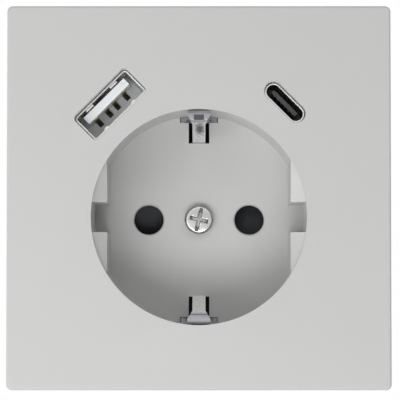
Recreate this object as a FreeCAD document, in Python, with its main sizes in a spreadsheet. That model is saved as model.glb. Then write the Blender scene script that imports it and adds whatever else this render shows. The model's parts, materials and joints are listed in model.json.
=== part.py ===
"""USB wall socket: an earthed flush-mounted mains socket with two USB charging ports.

The front looks along -Y, +X is to the right and +Z is up. The origin lies on the wall plane y = 0, in the
middle of the round flush box. All lengths are millimetres and all angles are degrees.
"""
import FreeCAD, Part
import math
import os
from types import SimpleNamespace

import Sketcher

DRIVING_SIZES = {
    # Cover plate in front of the wall
    "plate_width": 70.0,
    "plate_front": 10.0,
    "plate_sheet": 2.4,
    "plate_corner": 1.0,
    "plate_edge": 0.4,
    "skirt_wall": 1.6,
    "skirt_gap": 0.8,
    # Round well for the plug
    "well_radius": 19.7,
    "well_drop": 3.5,
    "well_depth": 17.5,
    "well_wall": 1.8,
    "well_floor": 2.5,
    "guide_half": 16.8,
    "guide_top": 0.8,
    "guide_slope": 1.9,
    "guide_groove": 5.5,
    "pin_spacing": 19.0,
    "pin_hole_radius": 2.8,
    "pin_hole_rim": 0.25,
    "clip_slot_width": 3.9,
    "clip_slot_inner": 14.5,
    "clip_recess_width": 7.2,
    "clip_recess_inner": 18.4,
    # Cover screw
    "screw_radius": 1.5,
    "screw_play": 0.2,
    "screw_head_radius": 2.7,
    "screw_head_height": 1.8,
    "screw_head_crown": 0.2,
    "screw_head_edge": 0.6,
    "screw_slot_width": 0.6,
    "screw_slot_span": 4.5,
    "screw_slot_depth": 0.9,
    "screw_cross_width": 0.84,
    "screw_cross_span": 3.6,
    "screw_cross_depth": 1.2,
    "screw_cross_taper": 12.0,
    "screw_drive_angle": 77.0,
    "screw_reach": 1.2,
    # Shutter behind the well floor
    "shutter_play": 0.2,
    "rotor_thick": 2.7,
    "rotor_radius": 12.9,
    "rotor_hole_radius": 2.9,
    "rotor_turn": 35.0,
    "ramp_depth": 1.9,
    "ramp_start": 2.6,
    "ramp_end": 3.4,
    "bush_wall": 1.6,
    "bush_play": 0.05,
    "tray_wall": 0.9,
    "tray_floor": 1.1,
    "tray_hole_radius": 3.0,
    "coil_radius": 4.4,
    "coil_wire": 0.22,
    "coil_pitch": 0.5,
    "coil_turns": 2.0,
    "coil_room": 0.45,
    "coil_leg_inset": 4.0,
    "coil_leg_radius": 0.17,
    # Earth bracket
    "earth_sheet": 0.6,
    "earth_gap": 0.9,
    "strap_width": 6.0,
    "strap_reach": 13.0,
    "clip_width": 4.3,
    "tongue_width": 2.4,
    "tongue_peak_radius": 14.6,
    "tongue_peak_depth": 12.5,
    "tongue_tip_radius": 16.4,
    "tongue_tip_depth": 19.0,
    "tongue_crown_radius": 17.7,
    "clip_set_back": 0.8,
    "clip_wall_radius": 19.2,
    "clip_bend": 0.62,
    "tongue_bend": 1.5,
    "wing_width": 6.9,
    "wing_depth": 1.0,
    "wing_play": 0.1,
    "clip_window_width": 1.9,
    "clip_window_inner": 17.7,
    "clip_window_outer": 18.7,
    "collar_wall": 0.7,
    "collar_depth": 1.3,
    "rivet_radius": 1.0,
    "rivet_head_radius": 1.7,
    "rivet_head_height": 0.6,
    "rivet_offset": 6.6,
    # Support ring on the wall
    "ring_width": 69.0,
    "ring_sheet": 1.2,
    "ring_corner": 7.0,
    "ring_gap": 0.6,
    "fixing_spacing": 60.0,
    "fixing_length": 6.0,
    "fixing_width": 3.6,
    "ring_port_room": 0.45,
    "seat_depth": 0.3,
    "seat_play": 0.2,
    # Insert body in the flush box
    "drum_radius": 28.8,
    "drum_flat": 25.6,
    "drum_wall": 1.2,
    "drum_depth": 30.0,
    "carrier_floor": 1.5,
    "rib_sheet": 1.1,
    "cover_sheet": 2.0,
    "partition_height": 5.0,
    "hall_rim": 1.1,
    "pole_wall": 4.9,
    "side_wall": 17.2,
    "fastener_radius": 0.95,
    "fastener_head_radius": 1.7,
    "fastener_head_height": 0.9,
    "fastener_length": 4.5,
    "fastener_play": 0.05,
    "fastener_room": 0.3,
    "boss_radius": 1.9,
    "ring_screw_top_x": 6.5,
    "ring_screw_top_z": 25.6,
    "ring_screw_low_x": 17.3,
    "ring_screw_low_z": 20.4,
    "rear_screw_x": 22.7,
    "rear_screw_low": 25.8,
    # Contacts and terminals
    "contact_sheet": 0.7,
    "fork_gap": 4.6,
    "fork_flare": 0.7,
    "fork_width": 5.6,
    "fork_front": 0.7,
    "fork_back": 2.0,
    "neck_inset": 0.4,
    "neck_width": 3.0,
    "neck_step": 1.2,
    "wire_radius": 1.6,
    "wire_spacing": 4.5,
    "wire_lift": 1.5,
    "wire_collar": 0.5,
    "wire_collar_depth": 2.2,
    "terminal_x": 12.25,
    "rail_depth": 19.3,
    "rail_margin": 0.2,
    "rail_overhang": 1.0,
    "clamp_sheet": 0.4,
    "clamp_width": 7.6,
    "clamp_height": 6.2,
    "clamp_front": 19.8,
    "clamp_back": 26.8,
    "clamp_tip": 20.6,
    "clamp_bend": 0.8,
    "clamp_rest": 0.35,
    "clamp_slit": 0.6,
    "clamp_slit_length": 2.4,
    "release_width": 5.0,
    "release_height": 2.4,
    "release_lift": 5.1,
    "release_play": 0.15,
    "release_stand": 1.0,
    "release_nose_low": 3.75,
    "release_nose_high": 5.0,
    "release_nose_front": 26.0,
    "release_flange": 0.7,
    "release_flange_sheet": 0.9,
    "tail_width": 1.6,
    "tail_pin": 1.0,
    "tail_inset": 1.0,
    # USB ports
    "port_angle": 45.0,
    "port_set_back": 2.5,
    "port_depth": 12.8,
    "port_room": 0.1,
    "port_rim": 0.12,
    "shell_sheet": 0.3,
    "usb_a_x": 16.22,
    "usb_a_z": 17.09,
    "usb_a_width": 13.1,
    "usb_a_height": 5.7,
    "usb_a_corner": 0.7,
    "usb_a_tongue_width": 10.4,
    "usb_a_tongue_sheet": 1.5,
    "usb_a_tongue_low": 0.4,
    "usb_a_tongue_set_back": 1.2,
    "usb_a_block": 4.0,
    "usb_a_contact_width": 1.0,
    "usb_a_contact_inner": 1.0,
    "usb_a_contact_outer": 3.5,
    "usb_a_latch_x": 3.05,
    "usb_a_latch_width": 2.2,
    "usb_a_low_latch_x": 3.45,
    "usb_a_low_latch_width": 1.3,
    "usb_a_latch_length": 4.0,
    "usb_a_latch_rise": 0.45,
    "usb_a_latch_lip": 0.2,
    "usb_a_latch_slit": 0.2,
    "usb_a_pocket_height": 1.4,
    "usb_c_x": 15.72,
    "usb_c_z": 17.47,
    "usb_c_width": 8.94,
    "usb_c_height": 3.16,
    "usb_c_tongue_width": 6.1,
    "usb_c_tongue_sheet": 0.7,
    "usb_c_tongue_set_back": 0.9,
    "usb_c_block": 4.0,
    "usb_c_contact_width": 0.3,
    "usb_c_contact_pitch": 0.95,
    "usb_c_contact_groove": 0.15,
    "port_contact_sheet": 0.2,
    # Charger electronics
    "board_sheet": 1.2,
    "board_room": 0.3,
    "board_cup_room": 0.8,
    "usb_board_low": 6.5,
    "power_board_low": 7.2,
    "power_board_front": 27.6,
    "ledge_width": 3.0,
    "ledge_depth": 1.8,
    "ledge_inset": 0.6,
    "part_rest": 0.05,
    "header_pitch": 2.54,
    "header_pin": 0.32,
    "header_height": 24.9,
    "pin_stand": 0.6,
    "header_block_height": 1.2,
    "header_block_front": 12.0,
    "header_block_back": 20.0,
    "core_width": 15.0,
    "core_height": 10.0,
    "core_depth": 5.2,
    "core_leg": 4.0,
    "core_yoke": 2.2,
    "core_side": 2.3,
    "core_z": 14.6,
    "bobbin_sheet": 0.6,
    "bobbin_overhang": 3.4,
    "winding_inset": 0.4,
    "input_cap_radius": 4.0,
    "input_cap_length": 9.8,
    "input_cap_x": 13.7,
    "input_cap_z": 14.6,
    "output_cap_radius": 3.15,
    "output_cap_length": 8.0,
    "output_cap_x": 12.6,
    "output_cap_low_z": 12.8,
    "output_cap_high_z": 19.4,
    "choke_radius": 2.4,
    "choke_waist": 1.7,
    "choke_length": 6.5,
    "choke_x": 8.4,
    "choke_z": 22.9,
    "choke_flange": 0.9,
    "fuse_width": 3.7,
    "fuse_length": 7.5,
    "fuse_x": 21.0,
    "fuse_z": 13.4,
    "rectifier_width": 4.4,
    "rectifier_depth": 3.6,
    "rectifier_height": 1.6,
    "rectifier_x": 7.3,
    "rectifier_z": 23.4,
    "chip_width": 4.9,
    "chip_depth": 3.9,
    "chip_height": 1.5,
    "chip_x": 19.6,
    "chip_z": 12.0,
    "charge_chip_width": 3.6,
    "charge_chip_height": 0.9,
    "charge_chip_z": 21.6,
    # How far a cut runs past a face, and how far joined solids run into each other
    "overrun": 1.0,
    "weld": 0.5,
}


class Size:
    """A value known both as a number and as an expression on the sheet's cells."""

    def __init__(self, number, text):
        self.number = number
        self.text = text

    def __float__(self):
        return self.number

    def __neg__(self):
        return Size(-self.number, "(0 - " + self.text + ")")

    def __add__(self, other):
        return Size(self.number + float(other), "(" + self.text + " + " + text_of(other) + ")")

    def __radd__(self, other):
        return as_size(other) + self

    def __sub__(self, other):
        return Size(self.number - float(other), "(" + self.text + " - " + text_of(other) + ")")

    def __rsub__(self, other):
        return as_size(other) - self

    def __mul__(self, other):
        return Size(self.number * float(other), "(" + self.text + " * " + text_of(other) + ")")

    def __rmul__(self, other):
        return as_size(other) * self

    def __truediv__(self, other):
        return Size(self.number / float(other), "(" + self.text + " / " + text_of(other) + ")")


def text_of(value):
    """The expression text of a Size, or of a plain number."""
    return value.text if isinstance(value, Size) else "(" + repr(float(value)) + ")"


def as_size(value):
    return value if isinstance(value, Size) else Size(float(value), text_of(value))


def cosine(angle):
    return Size(math.cos(math.radians(float(angle))), "cos(" + text_of(angle) + ")")


def sine(angle):
    return Size(math.sin(math.radians(float(angle))), "sin(" + text_of(angle) + ")")


doc = FreeCAD.newDocument("usb_wall_socket")
sheet = doc.addObject("Spreadsheet::Sheet", "Sizes")
for row, (alias, value) in enumerate(DRIVING_SIZES.items(), start=1):
    sheet.set("A" + str(row), alias)
    sheet.set("B" + str(row), str(value))
    sheet.setAlias("B" + str(row), alias)
doc.recompute()
s = SimpleNamespace(**{alias: Size(value, "Sizes." + alias) for alias, value in DRIVING_SIZES.items()})

# Layers from the front to the back, each from the one before it
plate_face = -s.plate_front
sheet_back = plate_face + s.plate_sheet
skirt_back = -(s.ring_sheet + s.skirt_gap)
drum_front = -s.seat_depth
floor_front = plate_face + s.well_depth
floor_back = floor_front + s.well_floor
rotor_front = floor_back + s.shutter_play
rotor_back = rotor_front + s.rotor_thick
tray_floor_front = rotor_back + s.shutter_play
tray_back = tray_floor_front + s.tray_floor
strap_front = tray_back + s.earth_gap
strap_back = strap_front + s.earth_sheet
carrier_back = strap_back + s.carrier_floor
cover_back = s.drum_depth + s.cover_sheet
port_face = plate_face + s.port_set_back
usb_board_front = port_face + s.port_depth
usb_board_back = usb_board_front + s.board_sheet
power_board_back = s.power_board_front + s.board_sheet

# Places that several pieces share
well_z = -s.well_drop
pin_x = s.pin_spacing / 2
cup_radius = s.well_radius + s.well_wall
screw_hole = s.screw_radius + s.screw_play
bush_radius = screw_hole + s.bush_wall
tray_inner = s.rotor_radius + s.shutter_play
drum_inner = s.drum_radius - s.drum_wall
flat_inner = s.drum_flat - s.drum_wall
clip_wall_front = s.clip_wall_radius - s.earth_sheet / 2
clip_wall_back = s.clip_wall_radius + s.earth_sheet / 2
live_rail_z = -s.rail_depth
earth_rail_z = well_z - clip_wall_front
leg_x = s.coil_radius * cosine(s.coil_leg_inset)
leg_rise = s.coil_radius * sine(s.coil_leg_inset)
# Each pole: the side it lies on, the middle of its terminal and the face of its rail
POLES = {
    "live": (-s.terminal_x, live_rail_z),
    "neutral": (s.terminal_x, live_rail_z),
    "earth": (as_size(0.0), earth_rail_z),
}
RING_SCREWS = [
    (-s.ring_screw_top_x, s.ring_screw_top_z),
    (s.ring_screw_top_x, s.ring_screw_top_z),
    (-s.ring_screw_low_x, -s.ring_screw_low_z),
    (s.ring_screw_low_x, -s.ring_screw_low_z),
]
REAR_SCREWS = [
    (-s.rear_screw_x, as_size(0.0)),
    (s.rear_screw_x, as_size(0.0)),
    (as_size(0.0), -s.rear_screw_low),
]
HEADER_PINS = [s.header_pitch * (k - 1.5) for k in range(4)]
sub_parts = []


def bind(thing, path, value):
    """Drives one property of a document object from the sheet."""
    thing.setExpression(path, text_of(value))


def keep(thing, label):
    """Registers a finished document object as a sub-part under its name."""
    thing.Label = label
    sub_parts.append(thing)
    return thing


def new_body(label):
    return keep(doc.addObject("PartDesign::Body", label + "_body"), label)


def new_sketch(body, role, offset=0.0, shift=0.0):
    """A sketch on one of the body's own origin planes, moved along its normal and along its local Y."""
    sketch = body.newObject("Sketcher::SketchObject", body.Name + "_sketch")
    plane = [feature for feature in body.Origin.OriginFeatures if feature.Role == role][0]
    sketch.AttachmentSupport = [(plane, "")]
    sketch.MapMode = "FlatFace"
    bind(sketch, "AttachmentOffset.Base.z", offset)
    bind(sketch, "AttachmentOffset.Base.y", shift)
    return sketch


def constrain(sketch, value, *constraint):
    """Adds a driving constraint whose value follows the sheet."""
    index = sketch.addConstraint(Sketcher.Constraint(*constraint, float(value)))
    sketch.setExpression("Constraints[" + str(index) + "]", text_of(value))


def fix_point(sketch, geometry, end, x, y):
    constrain(sketch, x, "DistanceX", -1, 1, geometry, end)
    constrain(sketch, y, "DistanceY", -1, 1, geometry, end)


def spot(x, y):
    return FreeCAD.Vector(float(x), float(y), 0)


UPRIGHT = FreeCAD.Vector(0, 0, 1)


def draw_polygon(sketch, points):
    """A closed outline of straight edges, every corner placed from the sketch's origin."""
    first = sketch.GeometryCount
    count = len(points)
    for k in range(count):
        sketch.addGeometry(Part.LineSegment(spot(*points[k]), spot(*points[(k + 1) % count])))
    for k in range(count):
        sketch.addConstraint(Sketcher.Constraint("Coincident", first + k, 2, first + (k + 1) % count, 1))
    for k, (x, y) in enumerate(points):
        fix_point(sketch, first + k, 1, x, y)


def draw_box(sketch, left, low, right, high):
    draw_polygon(sketch, [(left, low), (right, low), (right, high), (left, high)])


def draw_middle_box(sketch, x, y, width, height):
    draw_box(sketch, x - width / 2, y - height / 2, x + width / 2, y + height / 2)


def draw_turned_box(sketch, x, y, angle, left, low, right, high):
    """A rectangle given along axes that are turned by an angle about the point x, y."""
    corners = [(left, low), (right, low), (right, high), (left, high)]
    run = cosine(angle)
    rise = sine(angle)
    draw_polygon(sketch, [(x + u * run - v * rise, y + u * rise + v * run) for u, v in corners])


def draw_turned_cross(sketch, x, y, angle, width, span):
    """A cross of two equal bars, turned by an angle about the point x, y."""
    half = width / 2
    reach = span / 2
    arm = [(reach, -half), (reach, half), (half, half)]
    run = cosine(angle)
    rise = sine(angle)
    points = []
    for turn_run, turn_rise in ((run, rise), (-rise, run), (-run, -rise), (rise, -run)):
        points += [(x + u * turn_run - v * turn_rise, y + u * turn_rise + v * turn_run) for u, v in arm]
    draw_polygon(sketch, points)


def draw_circle(sketch, x, y, radius):
    index = sketch.addGeometry(Part.Circle(spot(x, y), UPRIGHT, float(radius)))
    fix_point(sketch, index, 3, x, y)
    constrain(sketch, radius, "Radius", index)


def draw_band(sketch, x, y, radius, half, along="x"):
    """A circle cut by two flats at plus and minus half a width across the named axis."""
    reach = math.sqrt(float(radius) ** 2 - float(half) ** 2)
    turn = math.atan2(reach, float(half))
    circle = Part.Circle(spot(x, y), UPRIGHT, float(radius))
    first = sketch.GeometryCount
    if along == "x":
        corners = [(x + half, y - reach), (x + half, y + reach), (x - half, y + reach), (x - half, y - reach)]
        arc_starts = (turn, math.pi + turn)
        span = math.pi - 2 * turn
        straight = "Vertical"
    else:
        corners = [(x + reach, y + half), (x - reach, y + half), (x - reach, y - half), (x + reach, y - half)]
        arc_starts = (math.pi / 2 + turn, -math.pi / 2 + turn)
        span = math.pi - 2 * turn
        straight = "Horizontal"
    sketch.addGeometry(Part.LineSegment(spot(*corners[0]), spot(*corners[1])))
    sketch.addGeometry(Part.ArcOfCircle(circle, arc_starts[0], arc_starts[0] + span))
    sketch.addGeometry(Part.LineSegment(spot(*corners[2]), spot(*corners[3])))
    sketch.addGeometry(Part.ArcOfCircle(circle, arc_starts[1], arc_starts[1] + span))
    for k in range(4):
        sketch.addConstraint(Sketcher.Constraint("Coincident", first + k, 2, first + (k + 1) % 4, 1))
    for line, sign in ((first, 1), (first + 2, -1)):
        sketch.addConstraint(Sketcher.Constraint(straight, line))
        if along == "x":
            constrain(sketch, x + half * sign, "DistanceX", -1, 1, line, 1)
        else:
            constrain(sketch, y + half * sign, "DistanceY", -1, 1, line, 1)
    for arc in (first + 1, first + 3):
        fix_point(sketch, arc, 3, x, y)
        constrain(sketch, radius, "Radius", arc)


def draw_dome(sketch, radius, half, low):
    """The part above a straight foot of a circle round the origin, cut by two upright flats."""
    reach = math.sqrt(float(radius) ** 2 - float(half) ** 2)
    turn = math.atan2(reach, float(half))
    circle = Part.Circle(spot(0, 0), UPRIGHT, float(radius))
    first = sketch.GeometryCount
    sketch.addGeometry(Part.LineSegment(spot(-half, low), spot(half, low)))
    sketch.addGeometry(Part.LineSegment(spot(half, low), spot(half, reach)))
    sketch.addGeometry(Part.ArcOfCircle(circle, turn, math.pi - turn))
    sketch.addGeometry(Part.LineSegment(spot(-half, reach), spot(-half, low)))
    for k in range(4):
        sketch.addConstraint(Sketcher.Constraint("Coincident", first + k, 2, first + (k + 1) % 4, 1))
    sketch.addConstraint(Sketcher.Constraint("Horizontal", first))
    fix_point(sketch, first, 1, -half, low)
    for line, x in ((first + 1, half), (first + 3, -half)):
        sketch.addConstraint(Sketcher.Constraint("Vertical", line))
        if line == first + 1:
            constrain(sketch, x, "DistanceX", -1, 1, line, 1)
    fix_point(sketch, first + 2, 3, 0, 0)
    constrain(sketch, radius, "Radius", first + 2)


def draw_slot(sketch, x, y, length, width):
    """A slot with round ends, its length end to end along the sketch's X axis."""
    radius = width / 2
    run = length / 2 - radius
    first = sketch.GeometryCount
    right_end = Part.Circle(spot(x + run, y), UPRIGHT, float(radius))
    left_end = Part.Circle(spot(x - run, y), UPRIGHT, float(radius))
    sketch.addGeometry(Part.LineSegment(spot(x - run, y - radius), spot(x + run, y - radius)))
    sketch.addGeometry(Part.ArcOfCircle(right_end, -math.pi / 2, math.pi / 2))
    sketch.addGeometry(Part.LineSegment(spot(x + run, y + radius), spot(x - run, y + radius)))
    sketch.addGeometry(Part.ArcOfCircle(left_end, math.pi / 2, 3 * math.pi / 2))
    for k in range(4):
        sketch.addConstraint(Sketcher.Constraint("Tangent", first + k, 2, first + (k + 1) % 4, 1))
    for arc, centre in ((first + 1, x + run), (first + 3, x - run)):
        fix_point(sketch, arc, 3, centre, y)
        constrain(sketch, radius, "Radius", arc)


def slab(body, front, back, draw):
    """Adds material between two depths; draw puts its outline, seen from the front, in a sketch."""
    sketch = new_sketch(body, "XZ_Plane", -as_size(back))
    draw(sketch)
    pad = body.newObject("PartDesign::Pad", body.Name + "_pad")
    pad.Profile = sketch
    bind(pad, "Length", as_size(back) - front)
    return settle(body, pad, "more")


def cut(body, front, back, draw, taper=None):
    """Takes material away between two depths; with a taper the cut narrows towards the back."""
    sketch = new_sketch(body, "XZ_Plane", -as_size(front))
    draw(sketch)
    pocket = body.newObject("PartDesign::Pocket", body.Name + "_pocket")
    pocket.Profile = sketch
    bind(pocket, "Length", as_size(back) - front)
    if taper is not None:
        bind(pocket, "TaperAngle", -taper)
    return settle(body, pocket, "less")


def side_cut(body, x, width, draw):
    """Cuts a side outline, drawn in Y and Z, through a width that is centred on x."""
    sketch = new_sketch(body, "YZ_Plane", x)
    draw(sketch)
    pocket = body.newObject("PartDesign::Pocket", body.Name + "_pocket")
    pocket.Profile = sketch
    pocket.Midplane = True
    bind(pocket, "Length", width)
    return settle(body, pocket, "less")


def side_slab(body, x, width, draw):
    """Adds a side outline, drawn in Y and Z, over a width that is centred on x."""
    sketch = new_sketch(body, "YZ_Plane", x)
    draw(sketch)
    pad = body.newObject("PartDesign::Pad", body.Name + "_pad")
    pad.Profile = sketch
    pad.Midplane = True
    bind(pad, "Length", width)
    return settle(body, pad, "more")


def turned(body, kind, x, z, points):
    """Turns an outline of depth and radius about the line through x and z that runs along Y."""
    sketch = new_sketch(body, "YZ_Plane", x, z)
    draw_polygon(sketch, points)
    feature = body.newObject("PartDesign::" + kind, body.Name + "_turned")
    feature.Profile = sketch
    feature.ReferenceAxis = (sketch, ["H_Axis"])
    feature.Angle = 360
    return settle(body, feature, "less" if kind == "Groove" else "more")


def settle(body, feature, change):
    """Recomputes a feature and makes sure that it added or took away material."""
    before = body.Tip.Shape.Volume if body.Tip and body.Tip != feature else 0.0
    if feature.BaseFeature:
        before = feature.BaseFeature.Shape.Volume
    body.Tip = feature
    doc.recompute()
    after = feature.Shape.Volume
    grown = after > before
    if "Invalid" in feature.State or after == before or grown != (change == "more"):
        raise RuntimeError(body.Label + ": " + feature.Name + " did not give " + change + " material")
    return feature


def dress(body, kind, size_name, value, wanted):
    """Fillets or chamfers every edge of the body that the test wants."""
    base = body.Tip
    edges = ["Edge" + str(k + 1) for k, edge in enumerate(base.Shape.Edges) if wanted(edge)]
    if not edges:
        raise RuntimeError(body.Label + ": no edge to dress")
    feature = body.newObject("PartDesign::" + kind, body.Name + "_dress")
    feature.Base = (base, edges)
    bind(feature, size_name, value)
    body.Tip = feature
    doc.recompute()
    if "Invalid" in feature.State:
        raise RuntimeError(body.Label + ": " + feature.Name + " failed")
    return feature


def near(one, other):
    return abs(float(one) - float(other)) < 0.01


def runs_along_depth(edge):
    """True for a straight edge that runs along Y."""
    if edge.Curve.TypeId != "Part::GeomLine":
        return False
    return abs(abs(edge.tangentAt(edge.FirstParameter).y) - 1) < 0.001


def lies_at_depth(edge, y):
    box = edge.BoundBox
    return near(box.YMin, y) and near(box.YMax, y)


def edge_reach(edge, x, z):
    """How far the edge's middle is from a line along Y."""
    middle = edge.valueAt((edge.FirstParameter + edge.LastParameter) / 2)
    return math.hypot(middle.x - float(x), middle.z - float(z))


def place(thing, x, y, z, angle=None):
    """Moves a finished object, and turns it about the axis that faces the front if an angle is given."""
    if angle is not None:
        thing.Placement = FreeCAD.Placement(FreeCAD.Vector(0, 0, 0), FreeCAD.Vector(0, -1, 0), float(angle))
        bind(thing, "Placement.Rotation.Angle", angle)
    bind(thing, "Placement.Base.x", x)
    bind(thing, "Placement.Base.y", y)
    bind(thing, "Placement.Base.z", z)


def block(name, left, front, low, right, back, high):
    """A rectangular solid between two corners."""
    box = doc.addObject("Part::Box", name)
    bind(box, "Length", as_size(right) - left)
    bind(box, "Width", as_size(back) - front)
    bind(box, "Height", as_size(high) - low)
    place(box, left, front, low)
    return box


def rod(name, x, front, z, radius, back):
    """A cylinder that runs along Y between two depths."""
    cylinder = doc.addObject("Part::Cylinder", name)
    cylinder.Placement = FreeCAD.Placement(FreeCAD.Vector(0, 0, 0), FreeCAD.Vector(1, 0, 0), -90)
    bind(cylinder, "Radius", radius)
    bind(cylinder, "Height", as_size(back) - front)
    place(cylinder, x, front, z)
    return cylinder


def joined(name, pieces):
    fusion = doc.addObject("Part::MultiFuse", name)
    fusion.Shapes = pieces
    return fusion


def grouped(name, pieces):
    group = doc.addObject("Part::Compound", name)
    group.Links = pieces
    return group


def side_offset(piece, side, half):
    """One long edge of a strip's straight run or bend, half a thickness to one side of its middle line."""
    start, end, centre = piece
    if centre is None:
        run = (end - start).normalize()
        shift = FreeCAD.Vector(-run.y, run.x, 0) * (side * half)
        return Part.LineSegment(start + shift, end + shift).toShape()
    spoke = start - centre
    far = end - centre
    turn = spoke.cross(far).z
    radius = spoke.Length - half * side * (1 if turn > 0 else -1)
    middle = (spoke.normalize() + FreeCAD.Vector(far).normalize()).normalize()
    points = [centre + direction * radius for direction in (spoke, middle, FreeCAD.Vector(far).normalize())]
    return Part.Arc(*points).toShape()


def strip_face(points, bends, thickness):
    """The section of a bent sheet: straight runs between the points, joined by bends on its middle line."""
    corners = [spot(*point) for point in points]
    pieces = []
    last = corners[0]
    for k in range(1, len(corners) - 1):
        before = (corners[k - 1] - corners[k]).normalize()
        after = (corners[k + 1] - corners[k]).normalize()
        inside = before.getAngle(after)
        bend = float(bends[k - 1])
        reach = bend / math.tan(inside / 2)
        centre = corners[k] + (before + after).normalize() * (bend / math.sin(inside / 2))
        pieces.append((last, corners[k] + before * reach, None))
        pieces.append((corners[k] + before * reach, corners[k] + after * reach, centre))
        last = corners[k] + after * reach
    pieces.append((last, corners[-1], None))
    half = float(thickness) / 2
    left = [side_offset(piece, 1, half) for piece in pieces]
    right = [side_offset(piece, -1, half) for piece in pieces]
    caps = [
        Part.makeLine(left[0].Vertexes[0].Point, right[0].Vertexes[0].Point),
        Part.makeLine(left[-1].Vertexes[-1].Point, right[-1].Vertexes[-1].Point),
    ]
    return Part.Face(Part.Wire(Part.__sortEdges__(left + right + caps)))


def side_strip(points, bends, thickness, x, width):
    """A bent sheet whose path is given as depth and height, width wide about x."""
    solid = strip_face(points, bends, thickness).extrude(UPRIGHT * float(width))
    solid.translate(UPRIGHT * (-float(width) / 2))
    turn = FreeCAD.Placement(FreeCAD.Vector(float(x), 0, 0), FreeCAD.Rotation(FreeCAD.Vector(1, 1, 1), 120))
    return solid.transformGeometry(turn.toMatrix())


def flat_strip(points, bends, thickness, z, width):
    """A bent sheet whose path is given as X and depth, width high about z."""
    solid = strip_face(points, bends, thickness).extrude(UPRIGHT * float(width))
    solid.translate(UPRIGHT * (float(z) - float(width) / 2))
    return solid


def box_shape(left, front, low, right, back, high):
    corner = FreeCAD.Vector(float(left), float(front), float(low))
    spans = (float(right) - float(left), float(back) - float(front), float(high) - float(low))
    return Part.makeBox(*spans, corner)


def rod_shape(x, front, z, radius, back):
    foot = FreeCAD.Vector(float(x), float(front), float(z))
    return Part.makeCylinder(float(radius), float(back) - float(front), foot, FreeCAD.Vector(0, 1, 0))


def fused(shapes):
    return shapes[0].multiFuse(shapes[1:]).removeSplitter()


def keep_shape(label, shape):
    """Keeps a shape made from the sheet's values as a sub-part."""
    thing = doc.addObject("Part::Feature", label + "_shape")
    thing.Shape = shape
    thing.Placement = FreeCAD.Placement()
    return keep(thing, label)


def make_cover_plate():
    """Plate, skirt and well as one moulding, with the guide lugs, clip slots and port openings."""
    body = new_body("cover_plate")
    slab(body, plate_face, sheet_back, lambda k: draw_middle_box(k, 0, 0, s.plate_width, s.plate_width))
    inner_width = s.plate_width - s.skirt_wall * 2

    def draw_skirt(sketch):
        draw_middle_box(sketch, 0, 0, s.plate_width, s.plate_width)
        draw_middle_box(sketch, 0, 0, inner_width, inner_width)

    slab(body, plate_face, skirt_back, draw_skirt)
    corner_reach = float(s.plate_width) / 2 * math.sqrt(2)
    dress(body, "Fillet", "Radius", s.plate_corner,
          lambda e: runs_along_depth(e) and near(edge_reach(e, 0, 0), corner_reach))
    half_width = float(s.plate_width) / 2
    dress(body, "Fillet", "Radius", s.plate_edge,
          lambda e: lies_at_depth(e, plate_face) and edge_reach(e, 0, 0) > half_width - float(s.plate_edge))
    slab(body, plate_face, floor_back, lambda k: draw_circle(k, 0, well_z, cup_radius))
    lug_start = plate_face + s.guide_top
    lug_top = lug_start + s.guide_slope
    turned(body, "Groove", 0, well_z, [
        (plate_face - s.overrun, 0), (lug_top, 0), (lug_top, s.guide_half), (lug_start, s.well_radius),
        (plate_face - s.overrun, s.well_radius)])
    cut(body, plate_face, floor_front, lambda k: draw_band(k, 0, well_z, s.well_radius, s.guide_half))
    cut(body, plate_face, floor_front,
        lambda k: draw_band(k, 0, well_z, s.well_radius, s.guide_groove / 2, "z"))
    for side in (-1, 1):
        cut(body, floor_front, floor_back, lambda k: draw_circle(k, pin_x * side, well_z, s.pin_hole_radius))
    dress(body, "Chamfer", "Size", s.pin_hole_rim,
          lambda e: lies_at_depth(e, floor_front) and e.Curve.TypeId == "Part::GeomCircle"
          and near(e.Curve.Radius, s.pin_hole_radius))
    cut(body, floor_front, floor_back, lambda k: draw_circle(k, 0, well_z, screw_hole))
    for side in (-1, 1):
        slot_half = s.clip_slot_width / 2
        recess_half = s.clip_recess_width / 2
        inner = well_z + s.clip_slot_inner * side
        recess = well_z + s.clip_recess_inner * side
        wall = well_z + s.well_radius * side
        cut(body, floor_front, floor_back, lambda k: draw_box(k, -slot_half, inner, slot_half, wall))
        cut(body, floor_front, floor_back, lambda k: draw_box(k, -recess_half, recess, recess_half, wall))
    a_half_width = s.usb_a_width / 2 + s.port_room
    a_half_height = s.usb_a_height / 2 + s.port_room
    cut(body, plate_face, sheet_back, lambda k: draw_turned_box(
        k, -s.usb_a_x, s.usb_a_z, s.port_angle, -a_half_width, -a_half_height, a_half_width, a_half_height))
    a_corner = math.hypot(float(a_half_width), float(a_half_height))
    dress(body, "Fillet", "Radius", s.usb_a_corner + s.port_room,
          lambda e: runs_along_depth(e) and near(edge_reach(e, -s.usb_a_x, s.usb_a_z), a_corner))
    c_half_width = s.usb_c_width / 2 + s.port_room
    c_half_height = s.usb_c_height / 2 + s.port_room
    cut(body, plate_face, sheet_back, lambda k: draw_turned_box(
        k, s.usb_c_x, s.usb_c_z, -s.port_angle, -c_half_width, -c_half_height, c_half_width, c_half_height))
    c_corner = math.hypot(float(c_half_width), float(c_half_height))
    dress(body, "Fillet", "Radius", c_half_height - s.port_room / 4,
          lambda e: runs_along_depth(e) and near(edge_reach(e, s.usb_c_x, s.usb_c_z), c_corner))

    def on_port_rim(edge):
        reach_a = edge_reach(edge, -s.usb_a_x, s.usb_a_z)
        reach_c = edge_reach(edge, s.usb_c_x, s.usb_c_z)
        return lies_at_depth(edge, plate_face) and (reach_a < a_corner or reach_c < c_corner)

    dress(body, "Chamfer", "Size", s.port_rim, on_port_rim)


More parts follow.
